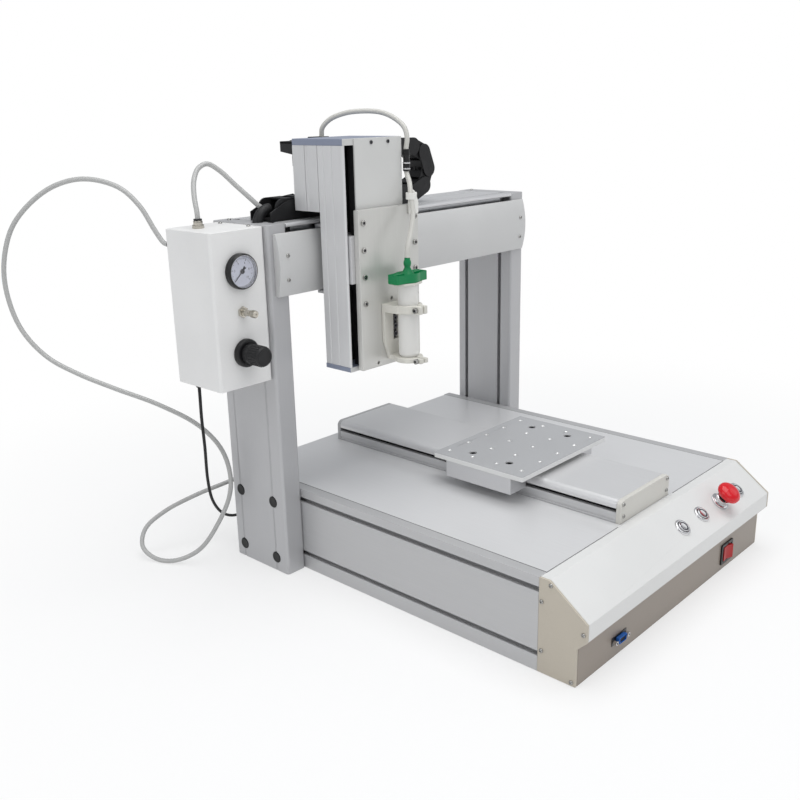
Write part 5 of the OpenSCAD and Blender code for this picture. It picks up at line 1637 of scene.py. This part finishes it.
@dataclass
class AirBox:
    """Pneumatic control box: shell, gauge, needle valve, regulator and fittings."""

    x: float = -294.0
    front: float = 158.0
    gauge_z: float = 404.0
    valve_z: float = 356.0
    regulator_z: float = 307.0
    dial_out: float = 4.36
    dial_start: float = 225.0
    dial_sweep: float = 270.0
    tick_circle: float = 15.6
    numeral_circle: float = 10.4
    numeral_size: float = 3.4
    numeral_relief: float = 0.03
    ticks: int = 40

    def build(self) -> None:
        """All of the box."""
        soften("box_shell", Finishes.box, 0.9, 3)
        self.gauge()
        self.regulator()
        self.valve()
        self.fittings()

    def gauge(self) -> None:
        """Bezel, dial with its scale, needle and domed glass."""
        base = (self.x, self.front, self.gauge_z)
        out = Axis.FRONT
        Work.turned("gauge_case_dressed", [
            (0, -24), (19.3, -24), (19.3, 0), (20.4, 0), (21, 1), (21, 6.4),
            (20.2, 8.4), (19.4, 9.0), (18.7, 8.7), (18.5, 7.6), (17.2, 4.2),
            (0, 4.0)], base, out, 72).smooth(45).dress(Finishes.gloss_black, replaces=("gauge_case",))
        Work.turned("gauge_dial", [(0, 3.9), (17.0, 3.9), (17.0, 4.3), (0, 4.3)],
                    base, out, 64).smooth(40).dress(Finishes.paper, "frame")
        tick = Work.slab("dial_ticks", (-0.5, 0, 0), (0.5, 1.0, 1.0)).bevel(0.05, 1)
        dial = shift(self.x, self.front - self.dial_out, self.gauge_z)
        places: List[Matrix] = []
        for step in range(self.ticks + 1):
            angle = math.radians(self.dial_start - self.dial_sweep * step / self.ticks)
            long, thick = (3.0, 0.55) if step % 8 == 0 else ((2.2, 0.4) if step % 4 == 0 else (1.3, 0.28))
            turn = Matrix.Rotation(-angle + math.pi / 2, 4, "Y") @ shift(0, 0, self.tick_circle - long)
            places.append(dial @ turn @ Matrix.Diagonal((thick, 0.08, long, 1.0)))
        tick.repeated("gauge_scale", places).dress(Finishes.ink_and_shade, "frame")
        self.numerals()
        soften("gauge_needle", Finishes.ink_and_shade, 0.08, 1)
        Work.turned("gauge_hub", [(0, 5.0), (2.6, 5.0), (2.6, 6.3), (2.0, 6.8), (0, 6.9)],
                    base, out, 32).smooth(40).dress(Finishes.ink_and_shade, "gauge_needle")
        Work.turned("gauge_inner_ring", [
            (17.0, 4.25), (17.35, 4.3), (18.62, 7.6), (18.78, 8.78), (18.5, 8.72),
            (18.35, 7.62), (17.0, 4.6), (17.0, 4.25)], base, out, 72).smooth(50).dress(
                Finishes.plated, "frame")
        Work.turned("gauge_glass", [
            (0, 8.4), (10, 8.2), (18.4, 7.6), (18.4, 6.9), (10, 7.4), (0, 7.6)],
            base, out, 64).smooth(45).dress(Finishes.glass, replaces=("gauge_lens",))

    def numerals(self) -> None:
        """Plain numbers round the dial."""
        marks: List[Work] = []
        texts = ("0", "2", "4", "6", "8", "10")
        for step, text in enumerate(texts):
            angle = math.radians(self.dial_start - self.dial_sweep * step / (len(texts) - 1))
            bpy.ops.object.select_all(action="DESELECT")
            bpy.ops.object.text_add(location=(0, 0, 0))
            obj = bpy.context.active_object
            obj.data.body = text
            obj.data.size = self.numeral_size * MM
            obj.data.align_x = "CENTER"
            obj.data.align_y = "CENTER"
            obj.data.extrude = self.numeral_relief * MM
            bpy.ops.object.convert(target="MESH")
            mark = Work(bpy.context.active_object, "numeral_%d" % step)
            right, up = (self.numeral_circle * part(angle) for part in (math.cos, math.sin))
            where = shift(self.x + right, self.front - self.dial_out, self.gauge_z + up)
            marks.append(mark.move(where @ Matrix.Rotation(math.pi / 2, 4, "X")))
        whole = marks[0].add(*marks[1:])
        whole.obj.name = "gauge_numerals"
        whole.dress(Finishes.ink_and_shade, "frame")

    def regulator(self) -> None:
        """Panel ring, and the ribbed knob that pulls and turns."""
        base = (self.x, self.front, self.regulator_z)
        out = Axis.FRONT
        Work.turned("regulator_ring", [
            (4.55, -40), (13.8, -40), (13.8, 0), (16.4, 0), (17, 0.8), (17, 5.0),
            (16.2, 6.4), (14.6, 7.0), (13.2, 6.8), (12.8, 6.0), (4.55, 6.0),
            (4.55, -40)], base, out, 72).smooth(40).dress(Finishes.black, replaces=("regulator_body",))
        soften("regulator_spindle", Finishes.steel, 0.4)
        knob = Work.turned("regulator_knob_dressed", [
            (4.6, 7.5), (11.4, 7.5), (11.9, 8.2), (11.9, 16.4), (11.3, 17.2),
            (11.3, 18), (11.9, 18.8), (11.9, 33.5), (11.2, 35.4), (9.6, 36.4),
            (8.8, 36.4), (8.5, 36.1), (0, 36.1), (0, 25), (4.6, 25), (4.6, 7.5)],
            base, out, 72).smooth(40)
        rib = Work.slab("knob_rib", (11.5, -0.75, 19.5), (12.5, 0.75, 33.0)).bevel(0.35, 2).smooth(45)
        ribs = rib.repeated("knob_ribs", [at(base, Axis.FRONT, 15 * i) for i in range(24)])
        knob.add(ribs).dress(Finishes.black, replaces=("regulator_knob",))

    def valve(self) -> None:
        """Knurled needle of the valve."""
        base = (self.x, self.front, self.valve_z)
        knob = Work.turned("valve_knob_dressed", [
            (0, -4), (2.0, -4), (2.0, 13.4), (3.3, 13.4), (3.7, 13.9), (3.7, 16),
            (2.9, 16.4), (2.9, 17.6), (4.1, 18), (4.1, 24.6), (3.5, 25.4),
            (1.0, 25.4), (0.8, 24.4), (0, 24.4)], base, Axis.FRONT, 40).smooth(40)
        rib = Work.slab("valve_rib", (3.8, -0.3, 18.3), (4.45, 0.3, 24.4)).bevel(0.12, 1)
        ribs = rib.repeated("valve_ribs", [at(base, Axis.FRONT, 15 * i) for i in range(24)])
        knob.add(ribs).dress(Finishes.brass, replaces=("valve_knob",))

    def fittings(self) -> None:
        """Push-in fittings with black release collars, glands and the valve's body."""
        push = Work.rod("push_in", (0, 0, 0), Axis.Z, 4.4, 7.0, 6).bevel(0.5)
        push.add(Work.turned("push_in_neck", [
            (0, -6), (4.9, -6), (4.9, 0.1), (5.5, 4.3), (5.5, 8.4), (5.1, 8.9),
            (3.2, 8.9), (3.2, 8.0), (0, 8.0)], steps=36)).smooth(40)
        spots = [at((-309, 210, 451)), at((-320, 244, 430), Axis.Y), at((-195, 278, 84), Axis.Y)]
        collar = Work.turned("release_collar", [
            (3.1, 8.5), (4.2, 8.9), (4.2, 9.4), (5.0, 9.5), (5.0, 10.8), (4.7, 11),
            (3.1, 11), (3.1, 8.5)], steps=36).smooth(40)
        collar.repeated("release_collars", spots).dress(Finishes.gloss_black, "frame")
        body = push.repeated("fittings_dressed", spots)
        nut = Work.rod("valve_nut", (0, 0, 0), Axis.Z, 3.6, 7.0, 6).bevel(0.5)
        nut.add(Work.turned("valve_neck", [
            (2.05, -12), (3.9, -12), (3.9, 3.6), (4.6, 3.7), (4.6, 5.4), (3.7, 5.6),
            (3.7, 12.4), (3.3, 13), (2.05, 13), (2.05, -12)], steps=40))
        body.add(nut.smooth(40).move(at((self.x, self.front, self.valve_z), Axis.FRONT))).dress(
            Finishes.brass, replaces=("air_fittings",))
        gland = Work.rod("gland", (0, 0, 0), Axis.Z, 3.2, 5.5, 6).bevel(0.4)
        gland.add(Work.turned("gland_neck", [
            (0, -6), (3.4, -6), (3.4, 0.1), (4.0, 3.1), (4.0, 6.0), (3.2, 7.6),
            (2.2, 8.0), (2.2, 7.0), (0, 7.0)], steps=32)).smooth(40)
        gland.repeated("cable_glands", [at((-317, 225, 265), Axis.DOWN),
                                        at((-195, 278, 30), Axis.Y)]).dress(Finishes.black, "frame")

    def screw_places(self) -> List[Matrix]:
        """Where the screws on the box's top stand."""
        return [at((-264, y, 451), Axis.Z, 25 * i) for i, y in enumerate((174, 228))]


def main() -> None:
    """Builds the scene in order."""
    logging.basicConfig(level=logging.INFO, format="%(message)s")
    studio = Studio()
    studio.camera()
    Cords().build()
    base, gantry, table, box = Base(), Gantry(), TableAxis(), AirBox()
    for part in (base, Controls(), gantry, Chain(), table, Head(), box):
        part.build()
    places = base.screw_places() + gantry.screw_places() + table.screw_places() + box.screw_places()
    places += gantry.top_places()
    Screw().build().repeated("cover_screws_dressed", places).dress(Finishes.screw, replaces=("cover_screws",))
    studio.light()
    studio.floor()


if __name__ == "__main__":
    main()
